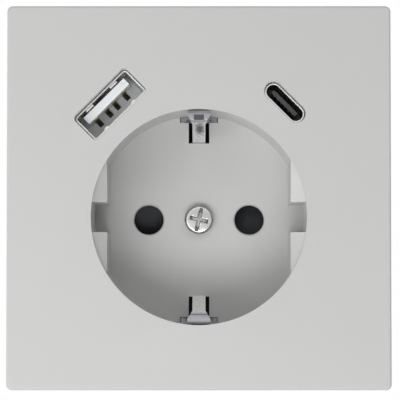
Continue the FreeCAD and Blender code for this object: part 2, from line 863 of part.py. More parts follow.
def make_cover_screw():
    """Pan head with a slot and a tapered cross recess; its shank ends in the earth bracket's collar."""
    body = new_body("cover_screw")
    crown = floor_front - s.screw_head_height
    shoulder = crown + s.screw_head_crown
    tip = strap_back + s.collar_depth + s.screw_reach
    turned(body, "Revolution", 0, well_z, [
        (crown, 0), (shoulder, s.screw_head_radius), (floor_front, s.screw_head_radius),
        (floor_front, s.screw_radius), (tip, s.screw_radius), (tip, 0)])
    dress(body, "Fillet", "Radius", s.screw_head_edge,
          lambda e: lies_at_depth(e, shoulder) and e.Curve.TypeId == "Part::GeomCircle")
    half_span = s.screw_slot_span / 2
    half_width = s.screw_slot_width / 2
    cut(body, crown, crown + s.screw_slot_depth, lambda k: draw_turned_box(
        k, 0, well_z, s.screw_drive_angle, -half_span, -half_width, half_span, half_width))
    cut(body, crown, crown + s.screw_cross_depth, lambda k: draw_turned_cross(
        k, 0, well_z, s.screw_drive_angle, s.screw_cross_width, s.screw_cross_span), s.screw_cross_taper)


def make_shutter_tray():
    """Round tray on the back of the well, with the bush that the rotor turns on."""
    body = new_body("shutter_tray")
    tray_radius = tray_inner + s.tray_wall
    slab(body, floor_back, tray_back, lambda k: draw_circle(k, 0, well_z, tray_radius))
    cut(body, floor_back, tray_floor_front, lambda k: draw_circle(k, 0, well_z, tray_inner))

    def draw_bush(sketch):
        draw_circle(sketch, 0, well_z, bush_radius)
        draw_circle(sketch, 0, well_z, screw_hole)

    slab(body, floor_back, tray_floor_front, draw_bush)
    cut(body, tray_floor_front, tray_back, lambda k: draw_circle(k, 0, well_z, screw_hole))
    for side in (-1, 1):
        cut(body, tray_floor_front, tray_back,
            lambda k: draw_circle(k, pin_x * side, well_z, s.tray_hole_radius))
    # The spring's rear leg is held in this small hole
    cut(body, tray_floor_front, tray_back,
        lambda k: draw_circle(k, leg_x, well_z + leg_rise, s.coil_wire))


def make_shutter_rotor():
    """Disc with two pin holes, turned aside at rest, and a ramp in front of each that leads a pin to it."""
    body = new_body("shutter_rotor")
    hub_hole = bush_radius + s.bush_play

    def draw_disc(sketch):
        draw_circle(sketch, 0, well_z, s.rotor_radius)
        draw_circle(sketch, 0, well_z, hub_hole)

    slab(body, rotor_front, rotor_back, draw_disc)
    hole_x = pin_x * cosine(s.rotor_turn)
    hole_z = pin_x * sine(s.rotor_turn)
    for side in (-1, 1):
        cut(body, rotor_front, rotor_back,
            lambda k: draw_circle(k, hole_x * side, well_z + hole_z * side, s.rotor_hole_radius))
        ramp_back = rotor_front + s.ramp_depth
        low = well_z - s.ramp_start * side
        high = well_z + s.ramp_end * side
        side_cut(body, pin_x * side, s.rotor_hole_radius * 2, lambda k: draw_polygon(k, [
            (rotor_front - s.overrun, low), (rotor_front, low), (ramp_back, high),
            (rotor_front - s.overrun, high)]))
    recess_front = rotor_back - coil_height()
    recess_radius = s.coil_radius + s.coil_room
    cut(body, recess_front, rotor_back, lambda k: draw_circle(k, 0, well_z, recess_radius))
    slot_half = s.coil_wire
    slot_end = s.coil_radius + s.coil_room * 3 + s.shutter_play
    cut(body, recess_front, recess_front + s.coil_wire * 2 + s.shutter_play, lambda k: draw_box(
        k, leg_x, well_z - leg_rise - slot_half, slot_end, well_z - leg_rise + slot_half))


def coil_height():
    return s.coil_pitch * s.coil_turns + s.coil_wire * 2 + s.shutter_play


def make_shutter_spring():
    """Return spring: a small coil round the bush, with one leg in the rotor's slot and one in the tray."""
    wire = float(s.coil_wire)
    radius = float(s.coil_radius)
    height = float(s.coil_pitch * s.coil_turns)
    start = float(rotor_back - coil_height() + s.coil_wire + s.shutter_play / 2)
    along = FreeCAD.Vector(0, 1, 0)
    facing_back = FreeCAD.Placement(FreeCAD.Vector(0, start, float(well_z)),
                                    FreeCAD.Rotation(FreeCAD.Vector(1, 0, 0), -90))
    helix = Part.makeHelix(float(s.coil_pitch), height, radius)
    section = Part.Wire(Part.makeCircle(wire, FreeCAD.Vector(radius, 0, 0), along))
    coil = Part.Wire(helix.Edges).makePipeShell([section], True, True)
    coil.Placement = facing_back
    leg_advance = float(s.coil_pitch * s.coil_leg_inset / 360)
    leg_radius = float(s.coil_leg_radius)
    rear_foot = FreeCAD.Vector(float(leg_x), start + height - leg_advance, float(well_z + leg_rise))
    rear_leg = Part.makeCylinder(leg_radius, float(tray_back) - rear_foot.y, rear_foot, along)
    front_foot = FreeCAD.Vector(float(leg_x), start + leg_advance, float(well_z - leg_rise))
    front_leg = Part.makeCylinder(leg_radius, float(s.coil_room * 3), front_foot, FreeCAD.Vector(1, 0, 0))
    keep_shape("shutter_spring", fused([coil, rear_leg, front_leg]))


def clip_paths(side):
    """Depth and height along the spring tongue and along the strip that stands in the well's wall."""
    crown_y = plate_face + s.clip_set_back
    tongue = [
        (plate_face + s.tongue_tip_depth, well_z + s.tongue_tip_radius * side),
        (plate_face + s.tongue_peak_depth, well_z + s.tongue_peak_radius * side),
        (crown_y, well_z + s.tongue_crown_radius * side),
    ]
    wall = (crown_y, well_z + s.clip_wall_radius * side)
    return tongue, wall


def clip_outline(side):
    """The clip seen from the front: a narrow tongue that widens to the strip at the rim."""
    narrow = float(s.tongue_width) / 2
    wide = float(s.clip_width) / 2
    levels = [
        (float(s.clip_slot_inner - s.overrun), narrow),
        (float(s.tongue_crown_radius - s.earth_sheet), narrow),
        (float(s.clip_wall_radius - s.earth_sheet), wide),
        (float(s.clip_wall_radius + s.overrun), wide),
    ]
    right = [FreeCAD.Vector(half, 0, float(well_z) + radius * side) for radius, half in levels]
    left = [FreeCAD.Vector(-point.x, 0, point.z) for point in reversed(right)]
    outline = Part.makePolygon(right + left + right[:1])
    front = float(plate_face)
    outline.translate(FreeCAD.Vector(0, front, 0))
    return Part.Face(outline).extrude(FreeCAD.Vector(0, float(floor_back) - front, 0))


def make_earth_bracket():
    """Folded sheet: two spring clips in the well, a strap with two necks, and the earth terminal's rail."""
    shapes = []
    bends = [s.tongue_bend, s.clip_bend, s.clip_bend]
    wing_front = floor_front + s.wing_depth
    wing_back = wing_front + s.earth_sheet
    for side in (1, -1):
        tongue, wall = clip_paths(side)
        run = tongue + [wall, (floor_back, wall[1])]
        strip = side_strip(run, bends, s.earth_sheet, 0, s.wing_width)
        clip = strip.common(clip_outline(side))
        if side > 0:
            half_window = s.clip_window_width / 2
            clip = clip.cut(box_shape(-half_window, plate_face, well_z + s.clip_window_inner,
                                      half_window, plate_face + s.clip_set_back * 3,
                                      well_z + s.clip_window_outer))
        shapes.append(clip)
        wall_heights = sorted([float(well_z + clip_wall_front * side), float(well_z + clip_wall_back * side)])
        foot_heights = sorted([float(well_z + (s.clip_recess_inner + s.wing_play) * side),
                               float(well_z + (s.well_radius - s.wing_play) * side)])
        half_wing = s.wing_width / 2
        half_clip = s.clip_width / 2
        shapes.append(box_shape(-half_clip, floor_back - s.earth_sheet, wall_heights[0],
                                half_clip, strap_back, wall_heights[1]))
        shapes.append(box_shape(-half_wing, wing_front, foot_heights[0],
                                half_wing, wing_back, foot_heights[1]))
    half_strap = s.strap_width / 2
    half_neck = s.tongue_width / 2
    shapes.append(box_shape(-half_strap, strap_front, well_z - s.strap_reach,
                            half_strap, strap_back, well_z + s.strap_reach))
    shapes.append(box_shape(-half_neck, strap_front, well_z - clip_wall_back,
                            half_neck, strap_back, well_z + clip_wall_back))
    half_rail = s.clamp_width / 2
    shapes.append(box_shape(-half_rail, strap_back, earth_rail_z - s.earth_sheet,
                            half_rail, s.clamp_back + s.rail_overhang, earth_rail_z))
    collar = rod_shape(0, strap_back - s.earth_sheet, well_z, s.screw_radius + s.collar_wall,
                       strap_back + s.collar_depth)
    shapes.append(collar)
    bracket = fused(shapes)
    holes = [rod_shape(0, strap_front - s.overrun, well_z, s.screw_radius + s.fastener_play,
                       strap_back + s.collar_depth + s.overrun)]
    for side in (-1, 1):
        holes.append(rod_shape(0, strap_front - s.overrun, well_z + s.rivet_offset * side,
                               s.rivet_radius + s.fastener_play, strap_back + s.overrun))
    keep_shape("earth_bracket", bracket.cut(holes))


def make_bracket_rivets():
    """Two rivets that hold the strap to the carrier floor."""
    rivets = []
    for side in (-1, 1):
        z = well_z + s.rivet_offset * side
        name = "rivet_" + ("low" if side < 0 else "high")
        head = rod(name + "_head", 0, strap_front - s.rivet_head_height, z, s.rivet_head_radius, strap_front)
        shank = rod(name + "_shank", 0, strap_front, z, s.rivet_radius, carrier_back)
        tail = rod(name + "_tail", 0, carrier_back, z, s.rivet_head_radius,
                   carrier_back + s.rivet_head_height)
        rivets.append(joined(name, [head, shank, tail]))
    keep(grouped("rivet_group", rivets), "bracket_rivets")


def make_support_ring():
    """Steel ring on the wall: a window for the well and the ports, two fixing slots and the drum's seat."""
    body = new_body("support_ring")
    slab(body, -s.ring_sheet, 0, lambda k: draw_middle_box(k, 0, 0, s.ring_width, s.ring_width))
    corner_reach = float(s.ring_width) / 2 * math.sqrt(2)
    dress(body, "Chamfer", "Size", s.ring_corner,
          lambda e: runs_along_depth(e) and near(edge_reach(e, 0, 0), corner_reach))
    cut(body, -s.ring_sheet, 0, lambda k: draw_circle(k, 0, well_z, cup_radius + s.ring_gap))
    inward = s.usb_a_height
    for x, z, angle, width, height in (
            (-s.usb_a_x, s.usb_a_z, s.port_angle, s.usb_a_width, s.usb_a_height),
            (s.usb_c_x, s.usb_c_z, -s.port_angle, s.usb_c_width, s.usb_c_height)):
        half_width = width / 2 + s.ring_port_room
        half_height = height / 2 + s.ring_port_room
        cut(body, -s.ring_sheet, 0, lambda k: draw_turned_box(
            k, x, z, angle, -half_width, -half_height - inward, half_width, half_height))
    for side in (-1, 1):
        cut(body, -s.ring_sheet, 0, lambda k: draw_slot(
            k, s.fixing_spacing / 2 * side, as_size(0.0), s.fixing_length, s.fixing_width))
    for x, z in RING_SCREWS:
        cut(body, -s.ring_sheet, 0, lambda k: draw_circle(k, x, z, s.fastener_radius + s.fastener_play))
    # The drum's front rim sits in this shallow seat, so the rest of the back lies flat on the wall
    cut(body, drum_front, 0, lambda k: draw_band(
        k, 0, 0, s.drum_radius + s.seat_play, s.drum_flat + s.seat_play))


def make_fasteners(label, spots, head_front, head_back, tip):
    """Identical small screws as one group; the head may lie in front of the tip or behind it."""
    screws = []
    for k, (x, z) in enumerate(spots):
        name = label + "_" + str(k + 1)
        head = rod(name + "_head", x, head_front, z, s.fastener_head_radius, head_back)
        if float(tip) > float(head_back):
            shank = rod(name + "_shank", x, head_back, z, s.fastener_radius, tip)
        else:
            shank = rod(name + "_shank", x, tip, z, s.fastener_radius, head_front)
        screws.append(joined(name, [head, shank]))
    keep(grouped(label + "_group", screws), label)


def draw_drum(sketch):
    draw_band(sketch, 0, 0, s.drum_radius, s.drum_flat)


def draw_drum_inside(sketch):
    draw_band(sketch, 0, 0, drum_inner, flat_inner)


def make_insert_base():
    """Drum in the flush box: a floor that carries the mains contacts, and a hall for the charger above."""
    body = new_body("insert_base")
    slab(body, drum_front, s.drum_depth, draw_drum)
    cut(body, drum_front, strap_back, draw_drum_inside)
    cut(body, carrier_back, s.drum_depth, draw_drum_inside)
    partition_low = s.partition_height
    partition_high = s.partition_height + s.rib_sheet

    # The hall above the partition is open from the USB board to the rear cover
    cut(body, strap_back, carrier_back, lambda k: draw_dome(
        k, drum_inner - s.hall_rim, flat_inner - s.hall_rim, partition_high))
    wall = s.rib_sheet
    ribs_back = s.drum_depth - s.part_rest
    ribs_front = carrier_back - s.weld
    slab(body, ribs_front, ribs_back, lambda k: draw_box(
        k, -flat_inner - s.weld, partition_low, flat_inner + s.weld, partition_high))
    low_end = live_rail_z - s.contact_sheet - s.part_rest - wall
    for side in (-1, 1):
        middle = s.pole_wall * side
        slab(body, ribs_front, ribs_back, lambda k: draw_box(
            k, middle - wall / 2, -drum_inner, middle + wall / 2, partition_low + s.weld))
        outer = (s.side_wall + wall / 2) * side
        slab(body, ribs_front, ribs_back, lambda k: draw_box(
            k, outer - wall / 2, low_end, outer + wall / 2, partition_low + s.weld))
    # The live and neutral roofs start behind the contacts' arms, which pass in front of them
    for pole, (x, rail_z) in POLES.items():
        roof_front = ribs_front if pole == "earth" else s.clamp_front - s.rail_margin
        roof = rail_z + s.clamp_height + s.clamp_sheet / 2 + s.part_rest
        sheet_under = s.earth_sheet if pole == "earth" else s.contact_sheet
        under = rail_z - sheet_under - s.part_rest
        reach_in = s.pole_wall if pole == "earth" else s.side_wall - s.terminal_x + s.weld
        reach_out = s.pole_wall if pole == "earth" else s.terminal_x - s.pole_wall
        left = x - (reach_out if float(x) > 0 else reach_in)
        right = x + (reach_in if float(x) > 0 else reach_out)
        slab(body, roof_front, ribs_back, lambda k: draw_box(k, left, roof, right, roof + wall))
        slab(body, ribs_front, ribs_back, lambda k: draw_box(k, left, under - wall, right, under))
    for side in (-1, 1):
        cut(body, strap_back, carrier_back, lambda k: draw_circle(
            k, pin_x * side, well_z, s.tray_hole_radius))
    collar_hole = s.screw_radius + s.collar_wall + s.shutter_play
    cut(body, strap_back, carrier_back, lambda k: draw_circle(k, 0, well_z, collar_hole))
    for side in (-1, 1):
        cut(body, strap_back, carrier_back, lambda k: draw_circle(
            k, 0, well_z + s.rivet_offset * side, s.rivet_radius + s.fastener_play))
    rail_room = s.clamp_width / 2 + s.rail_margin
    cut(body, strap_back, carrier_back, lambda k: draw_box(
        k, -rail_room, earth_rail_z - s.earth_sheet - s.rail_margin, rail_room, earth_rail_z + s.rail_margin))
    for side in (-1, 1):
        tail = tail_x() * side
        half_room = s.contact_sheet / 2 + s.rail_margin
        cut(body, s.power_board_front - s.tail_width - s.tail_pin - s.rail_margin, ribs_back,
            lambda k: draw_box(k, tail - half_room, partition_low - s.part_rest,
                               tail + half_room, partition_high + s.part_rest))
    hole = s.fastener_radius + s.fastener_play
    for x, z in RING_SCREWS:
        end = usb_board_front if float(z) > 0 else strap_back + s.weld
        slab(body, drum_front, end, lambda k: draw_circle(k, x, z, s.boss_radius))
        cut(body, drum_front, s.fastener_length + s.fastener_room, lambda k: draw_circle(k, x, z, hole))
    for x, z in REAR_SCREWS:
        slab(body, ribs_front, ribs_back, lambda k: draw_circle(k, x, z, s.boss_radius))
        cut(body, s.drum_depth - s.fastener_length - s.fastener_room, s.drum_depth,
            lambda k: draw_circle(k, x, z, hole))
    # Ledges on the wall carry the USB board in front and the power board behind
    ledge_front = usb_board_back + s.part_rest
    ledge_back = s.power_board_front - s.part_rest
    half = s.ledge_width / 2
    for side in (-1, 1):
        outer = (flat_inner + s.weld) * side
        inner = (flat_inner - s.ledge_depth) * side
        middle = s.power_board_low + half + s.ledge_inset
        slab(body, ledge_front, ledge_back, lambda k: draw_box(
            k, inner, middle - half, outer, middle + half))
    slab(body, ledge_front, ledge_back, lambda k: draw_box(
        k, -half, drum_inner - s.ledge_depth + s.board_room, half, drum_inner + s.weld))


def tail_x():
    """Middle of the fork's outer arm, which also carries the tail to the power board."""
    return pin_x + s.fork_gap / 2 + s.contact_sheet / 2


def make_rear_cover():
    """Closes the drum: six wire entries with collars and three windows for the release buttons."""
    body = new_body("rear_cover")
    slab(body, s.drum_depth, cover_back, draw_drum)
    entries = []
    for x, rail_z in POLES.values():
        for side in (-1, 1):
            entries.append((x + s.wire_spacing / 2 * side, rail_z + s.wire_lift))
    collar_front = s.drum_depth - s.wire_collar_depth
    for x, z in entries:
        slab(body, collar_front, s.drum_depth + s.weld, lambda k: draw_circle(
            k, x, z, s.wire_radius + s.wire_collar))
    for x, z in entries:
        cut(body, collar_front, cover_back, lambda k: draw_circle(k, x, z, s.wire_radius))
    for x, rail_z in POLES.values():
        width = s.release_width + s.release_play * 2
        height = s.release_height + s.release_play * 2
        cut(body, collar_front, cover_back, lambda k: draw_middle_box(
            k, x, rail_z + s.release_lift, width, height))
    for x, z in REAR_SCREWS:
        cut(body, s.drum_depth, cover_back, lambda k: draw_circle(
            k, x, z, s.fastener_radius + s.fastener_play))
        cut(body, cover_back - s.fastener_head_height, cover_back, lambda k: draw_circle(
            k, x, z, s.fastener_head_radius + s.fastener_play))


def make_contact(label, side):
    """Fork that grips a plug's pin, its terminal rail and the tail that feeds the power board."""
    x = pin_x * side
    inner = s.fork_gap / 2 + s.contact_sheet / 2
    front = carrier_back + s.fork_front
    waist = front + s.fork_flare * 3
    back = s.drum_depth - s.fork_back
    mouth = inner + s.fork_flare
    path = [(x - mouth, front), (x - inner, waist), (x - inner, back),
            (x + inner, back), (x + inner, waist), (x + mouth, front)]
    bend = s.contact_sheet * 1.5
    fork = flat_strip(path, [bend, bend, bend, bend], s.contact_sheet, well_z, s.fork_width)
    arm_left = tail_x() * side - s.contact_sheet / 2
    arm_right = tail_x() * side + s.contact_sheet / 2
    fork_low = well_z - s.fork_width / 2
    fork_high = well_z + s.fork_width / 2
    arm_front = carrier_back + s.part_rest
    arm_back = s.clamp_front - s.rail_margin * 3
    neck_front = waist + s.neck_inset
    neck_back = waist + s.neck_width
    rail_back = s.clamp_back + s.rail_overhang
    half_rail = s.clamp_width / 2
    rail_x = s.terminal_x * side
    tail_back = s.power_board_front - s.tail_pin
    tail_front = tail_back - s.tail_width
    pin_low = s.power_board_low + s.tail_inset
    neck_low = live_rail_z + s.clamp_height + s.clamp_sheet + s.rib_sheet + s.rail_margin * 2
    # The fork's outer arm flares at its mouth, so the neck starts on the straight run behind the waist
    keep_shape(label, fused([
        fork,
        box_shape(arm_left, neck_front, neck_low, arm_right, neck_back, fork_low + s.weld),
        box_shape(arm_left, arm_front, neck_low, arm_right, neck_back, neck_low + s.neck_step),
        box_shape(arm_left, arm_front, live_rail_z - s.contact_sheet, arm_right, arm_back, neck_low + s.weld),
        box_shape(rail_x - half_rail, arm_front, live_rail_z - s.contact_sheet,
                  rail_x + half_rail, rail_back, live_rail_z),
        box_shape(arm_left, tail_front, fork_high - s.weld, arm_right, tail_back, pin_low + s.tail_pin),
        box_shape(arm_left, tail_back - s.weld, pin_low, arm_right, power_board_back + s.pin_stand,
                  pin_low + s.tail_pin),
    ]))


def make_clamp_spring(label, x, rail_z):
    """Leaf spring: one leg under the chamber's roof, the other leans on the rail and grips two wires."""
    path = [
        (s.clamp_front, rail_z + s.clamp_height),
        (s.clamp_back, rail_z + s.clamp_height),
        (s.clamp_tip, rail_z + s.clamp_rest + s.clamp_sheet / 2),
    ]
    spring = side_strip(path, [s.clamp_bend], s.clamp_sheet, x, s.clamp_width - s.rail_margin * 2)
    half_slit = s.clamp_slit / 2
    slit = box_shape(x - half_slit, s.clamp_tip - s.overrun, rail_z,
                     x + half_slit, s.clamp_tip + s.clamp_slit_length, rail_z + s.clamp_height / 2)
    keep_shape(label, spring.cut(slit))


def make_release(label, x, rail_z):
    """Button that pushes the clamp spring's leg forward and frees the wires."""
    middle = rail_z + s.release_lift
    low = rail_z + s.release_nose_low
    high = rail_z + s.release_nose_high
    half = s.release_width / 2
    flange_back = s.drum_depth - s.part_rest
    flange_front = flange_back - s.release_flange_sheet
    head = block(label + "_head", x - half, flange_front, middle - s.release_height / 2,
                 x + half, cover_back + s.release_stand, middle + s.release_height / 2)
    nose = block(label + "_nose", x - half, s.release_nose_front, low, x + half, flange_back, high)
    flange = block(label + "_flange", x - half - s.release_flange, flange_front,
                   middle - s.release_height / 2 + s.release_play, x + half + s.release_flange, flange_back,
                   middle + s.release_height / 2)
    keep(joined(label + "_fusion", [head, nose, flange]), label)


def latch_outline(front, back, wall, way, lip):
    """Side outline of a latch spring: from the shell's wall inwards, then a lip that may turn outwards."""
    rise = s.usb_a_latch_rise
    foot = back + s.usb_a_latch_slit
    knee = front + rise * 2
    tip = front + s.usb_a_latch_slit
    outer = [(foot, wall), (back, wall), (knee, wall - rise), (tip, wall - rise + lip)]
    inner = [(y, v - s.shell_sheet) for y, v in reversed(outer)]
    return [(y, v * way) for y, v in outer + inner]


def make_usb_a():
    """Type A receptacle: folded shell, tongue with its rear block, and four contacts."""
    half_width = s.usb_a_width / 2
    half_height = s.usb_a_height / 2
    shell = new_body("usb_a_shell")
    slab(shell, port_face, usb_board_front, lambda k: draw_middle_box(k, 0, 0, s.usb_a_width, s.usb_a_height))
    corner = math.hypot(float(half_width), float(half_height))
    dress(shell, "Fillet", "Radius", s.usb_a_corner,
          lambda e: runs_along_depth(e) and near(edge_reach(e, 0, 0), corner))
    inner_width = s.usb_a_width - s.shell_sheet * 2
    inner_height = s.usb_a_height - s.shell_sheet * 2
    cut(shell, port_face, usb_board_front, lambda k: draw_middle_box(k, 0, 0, inner_width, inner_height))
    inner_corner = math.hypot(float(inner_width) / 2, float(inner_height) / 2)
    dress(shell, "Fillet", "Radius", s.usb_a_corner - s.shell_sheet,
          lambda e: runs_along_depth(e) and near(edge_reach(e, 0, 0), inner_corner))
    latch_front = port_face + s.usb_a_latch_length / 2
    latch_back = latch_front + s.usb_a_latch_length
    for way, latch_x, width, lip in ((1, s.usb_a_latch_x, s.usb_a_latch_width, s.usb_a_latch_lip),
                                     (-1, s.usb_a_low_latch_x, s.usb_a_low_latch_width, as_size(0.0))):
        for side in (-1, 1):
            side_cut(shell, latch_x * side, width, lambda k: draw_box(
                k, latch_front, inner_height / 4 * way, latch_back, (half_height + s.overrun) * way))
            side_slab(shell, latch_x * side, width - s.usb_a_latch_slit * 2, lambda k: draw_polygon(
                k, latch_outline(latch_front, latch_back, half_height, way, lip)))
    core = new_body("usb_a_tongue")
    block_front = usb_board_front - s.usb_a_block
    fit = s.part_rest * 2
    slab(core, block_front, usb_board_front, lambda k: draw_middle_box(
        k, 0, 0, inner_width - fit, inner_height - fit))
    core_corner = math.hypot(float(inner_width - fit) / 2, float(inner_height - fit) / 2)
    dress(core, "Fillet", "Radius", s.usb_a_corner - s.shell_sheet,
          lambda e: runs_along_depth(e) and near(edge_reach(e, 0, 0), core_corner))
    tongue_half = s.usb_a_tongue_width / 2
    tongue_high = s.usb_a_tongue_low + s.usb_a_tongue_sheet
    slab(core, port_face + s.usb_a_tongue_set_back, block_front + s.weld, lambda k: draw_box(
        k, -tongue_half, s.usb_a_tongue_low, tongue_half, tongue_high))
    places = [-s.usb_a_contact_outer, -s.usb_a_contact_inner, s.usb_a_contact_inner, s.usb_a_contact_outer]
    pocket_half = s.usb_a_contact_width / 2
    contact_low = s.usb_a_tongue_low - s.port_contact_sheet
    for x in places:
        cut(core, block_front, usb_board_front, lambda k: draw_box(
            k, x - pocket_half, s.usb_a_tongue_low - s.usb_a_pocket_height, x + pocket_half,
            s.usb_a_tongue_low))
    contacts = []
    strip_half = pocket_half - s.part_rest
    for k, x in enumerate(places):
        contacts.append(block("usb_a_contact_" + str(k + 1), x - strip_half,
                              port_face + s.usb_a_tongue_set_back * 2, contact_low,
                              x + strip_half, usb_board_front, s.usb_a_tongue_low))
    group = keep(grouped("usb_a_contact_group", contacts), "usb_a_contacts")
    for thing in (shell, core, group):
        place(thing, -s.usb_a_x, 0, s.usb_a_z, s.port_angle)


def make_usb_c():
    """Type C receptacle: seamless shell, thin middle tongue with its rear block, and two rows of contacts."""
    shell = new_body("usb_c_shell")
    slab(shell, port_face, usb_board_front,
         lambda k: draw_slot(k, as_size(0.0), as_size(0.0), s.usb_c_width, s.usb_c_height))
    inner_width = s.usb_c_width - s.shell_sheet * 2
    inner_height = s.usb_c_height - s.shell_sheet * 2
    cut(shell, port_face, usb_board_front,
        lambda k: draw_slot(k, as_size(0.0), as_size(0.0), inner_width, inner_height))
    core = new_body("usb_c_tongue")
    block_front = usb_board_front - s.usb_c_block
    fit = s.part_rest * 2
    slab(core, block_front, usb_board_front, lambda k: draw_slot(
        k, as_size(0.0), as_size(0.0), inner_width - fit, inner_height - fit))
    slab(core, port_face + s.usb_c_tongue_set_back, block_front + s.weld, lambda k: draw_middle_box(
        k, 0, 0, s.usb_c_tongue_width, s.usb_c_tongue_sheet))
    contacts = []
    half = s.usb_c_contact_width / 2
    groove = half + s.part_rest
    surface = s.usb_c_tongue_sheet / 2
    foot = surface - s.usb_c_contact_groove
    top = foot + s.port_contact_sheet
    contact_front = port_face + s.usb_c_tongue_set_back * 2
    places = [s.usb_c_contact_pitch * (k - 2.5) for k in range(6)]

    def draw_grooves(sketch):
        for x in places:
            draw_box(sketch, x - groove, foot, x + groove, surface)
            draw_box(sketch, x - groove, -surface, x + groove, -foot)

    cut(core, contact_front, block_front, draw_grooves)
    for row, low, high in (("low", -top, -foot), ("high", foot, top)):
        for k, x in enumerate(places):
            name = "usb_c_contact_" + row + "_" + str(k + 1)
            contacts.append(block(name, x - half, contact_front, low, x + half, block_front, high))
    group = keep(grouped("usb_c_contact_group", contacts), "usb_c_contacts")
    for thing in (shell, core, group):
        place(thing, s.usb_c_x, 0, s.usb_c_z, -s.port_angle)


def make_usb_board():
    """Crescent board behind the ports, round the cup of the well."""
    body = new_body("usb_board")
    radius = drum_inner - s.board_room
    half = flat_inner - s.board_room
    slab(body, usb_board_front, usb_board_back, lambda k: draw_dome(k, radius, half, s.usb_board_low))
    cut(body, usb_board_front, usb_board_back, lambda k: draw_circle(
        k, 0, well_z, cup_radius + s.board_cup_room))
    for x in HEADER_PINS:
        cut(body, usb_board_front, usb_board_back, lambda k: draw_circle(
            k, x, s.header_height, s.header_pin + s.part_rest))


def make_power_board():
    """Board at the back of the hall; the transformer and capacitors stand on its front face."""
    body = new_body("power_board")
    radius = drum_inner - s.board_room
    half = flat_inner - s.board_room
    slab(body, s.power_board_front, power_board_back,
         lambda k: draw_dome(k, radius, half, s.power_board_low))
    for x in HEADER_PINS:
        cut(body, s.power_board_front, power_board_back, lambda k: draw_circle(
            k, x, s.header_height, s.header_pin + s.part_rest))
    for side in (-1, 1):
        x = tail_x() * side
        half_width = s.contact_sheet / 2 + s.part_rest
        low = s.power_board_low + s.tail_inset - s.part_rest
        cut(body, s.power_board_front, power_board_back, lambda k: draw_box(
            k, x - half_width, low, x + half_width, low + s.tail_pin + s.part_rest * 2))


def make_link_header():
    """Four long pins between the two boards, held by a moulded block."""
    half = s.header_block_height / 2
    side = s.header_pitch * 2
    pieces = [block("header_block", -side, s.header_block_front, s.header_height - half,
                    side, s.header_block_back, s.header_height + half)]
    for k, x in enumerate(HEADER_PINS):
        pieces.append(rod("header_pin_" + str(k + 1), x, usb_board_front - s.pin_stand, s.header_height,
                          s.header_pin, power_board_back + s.pin_stand))
    keep(joined("header_fusion", pieces), "link_header")


def make_transformer():
    """Ferrite core with two windows, and a bobbin with its winding round the middle leg."""
    back = s.power_board_front - s.part_rest
    front = back - s.core_height
    low = s.core_z - s.core_depth / 2
    high = s.core_z + s.core_depth / 2
    half = s.core_width / 2
    leg = s.core_leg / 2
    core_body = new_body("transformer_core")
    slab(core_body, front, back, lambda k: draw_box(k, -half, low, half, high))
    window_front = front + s.core_yoke
    window_back = back - s.core_yoke
    window_outer = half - s.core_side
    for side in (-1, 1):
        middle = (leg + window_outer) / 2 * side
        side_cut(core_body, middle, window_outer - leg, lambda k: draw_box(
            k, window_front, low - s.overrun, window_back, high + s.overrun))
    room = s.part_rest
    wrap_low = low - s.bobbin_overhang
    wrap_high = high + s.bobbin_overhang
    spool_front = window_front + room
    spool_back = window_back - room
    spool = new_body("transformer_bobbin")
    outer = window_outer - room
    slab(spool, spool_front, spool_back, lambda k: draw_box(k, -outer, wrap_low, outer, wrap_high))
    cut(spool, spool_front, spool_back,
        lambda k: draw_box(k, -leg - room, low - room, leg + room, high + room))
    tube = s.bobbin_sheet

    def draw_coil_room(sketch):
        draw_box(sketch, -outer - s.overrun, wrap_low - s.overrun, outer + s.overrun, wrap_high + s.overrun)
        draw_box(sketch, -leg - room - tube, low - room - tube, leg + room + tube, high + room + tube)

    cut(spool, spool_front + tube, spool_back - tube, draw_coil_room)
    winding = new_body("transformer_winding")
    inset = s.winding_inset

    def draw_winding(sketch):
        draw_box(sketch, -outer + inset / 2, wrap_low + inset, outer - inset / 2, wrap_high - inset)
        draw_box(sketch, -leg - room * 2 - tube, low - room * 2 - tube,
                 leg + room * 2 + tube, high + room * 2 + tube)

    slab(winding, spool_front + tube + room, spool_back - tube - room, draw_winding)
    long_corner = math.hypot(float(outer - inset / 2), float(wrap_high - wrap_low) / 2 - float(inset))
    dress(winding, "Fillet", "Radius", s.bobbin_overhang / 4,
          lambda e: runs_along_depth(e) and near(edge_reach(e, 0, s.core_z), long_corner))


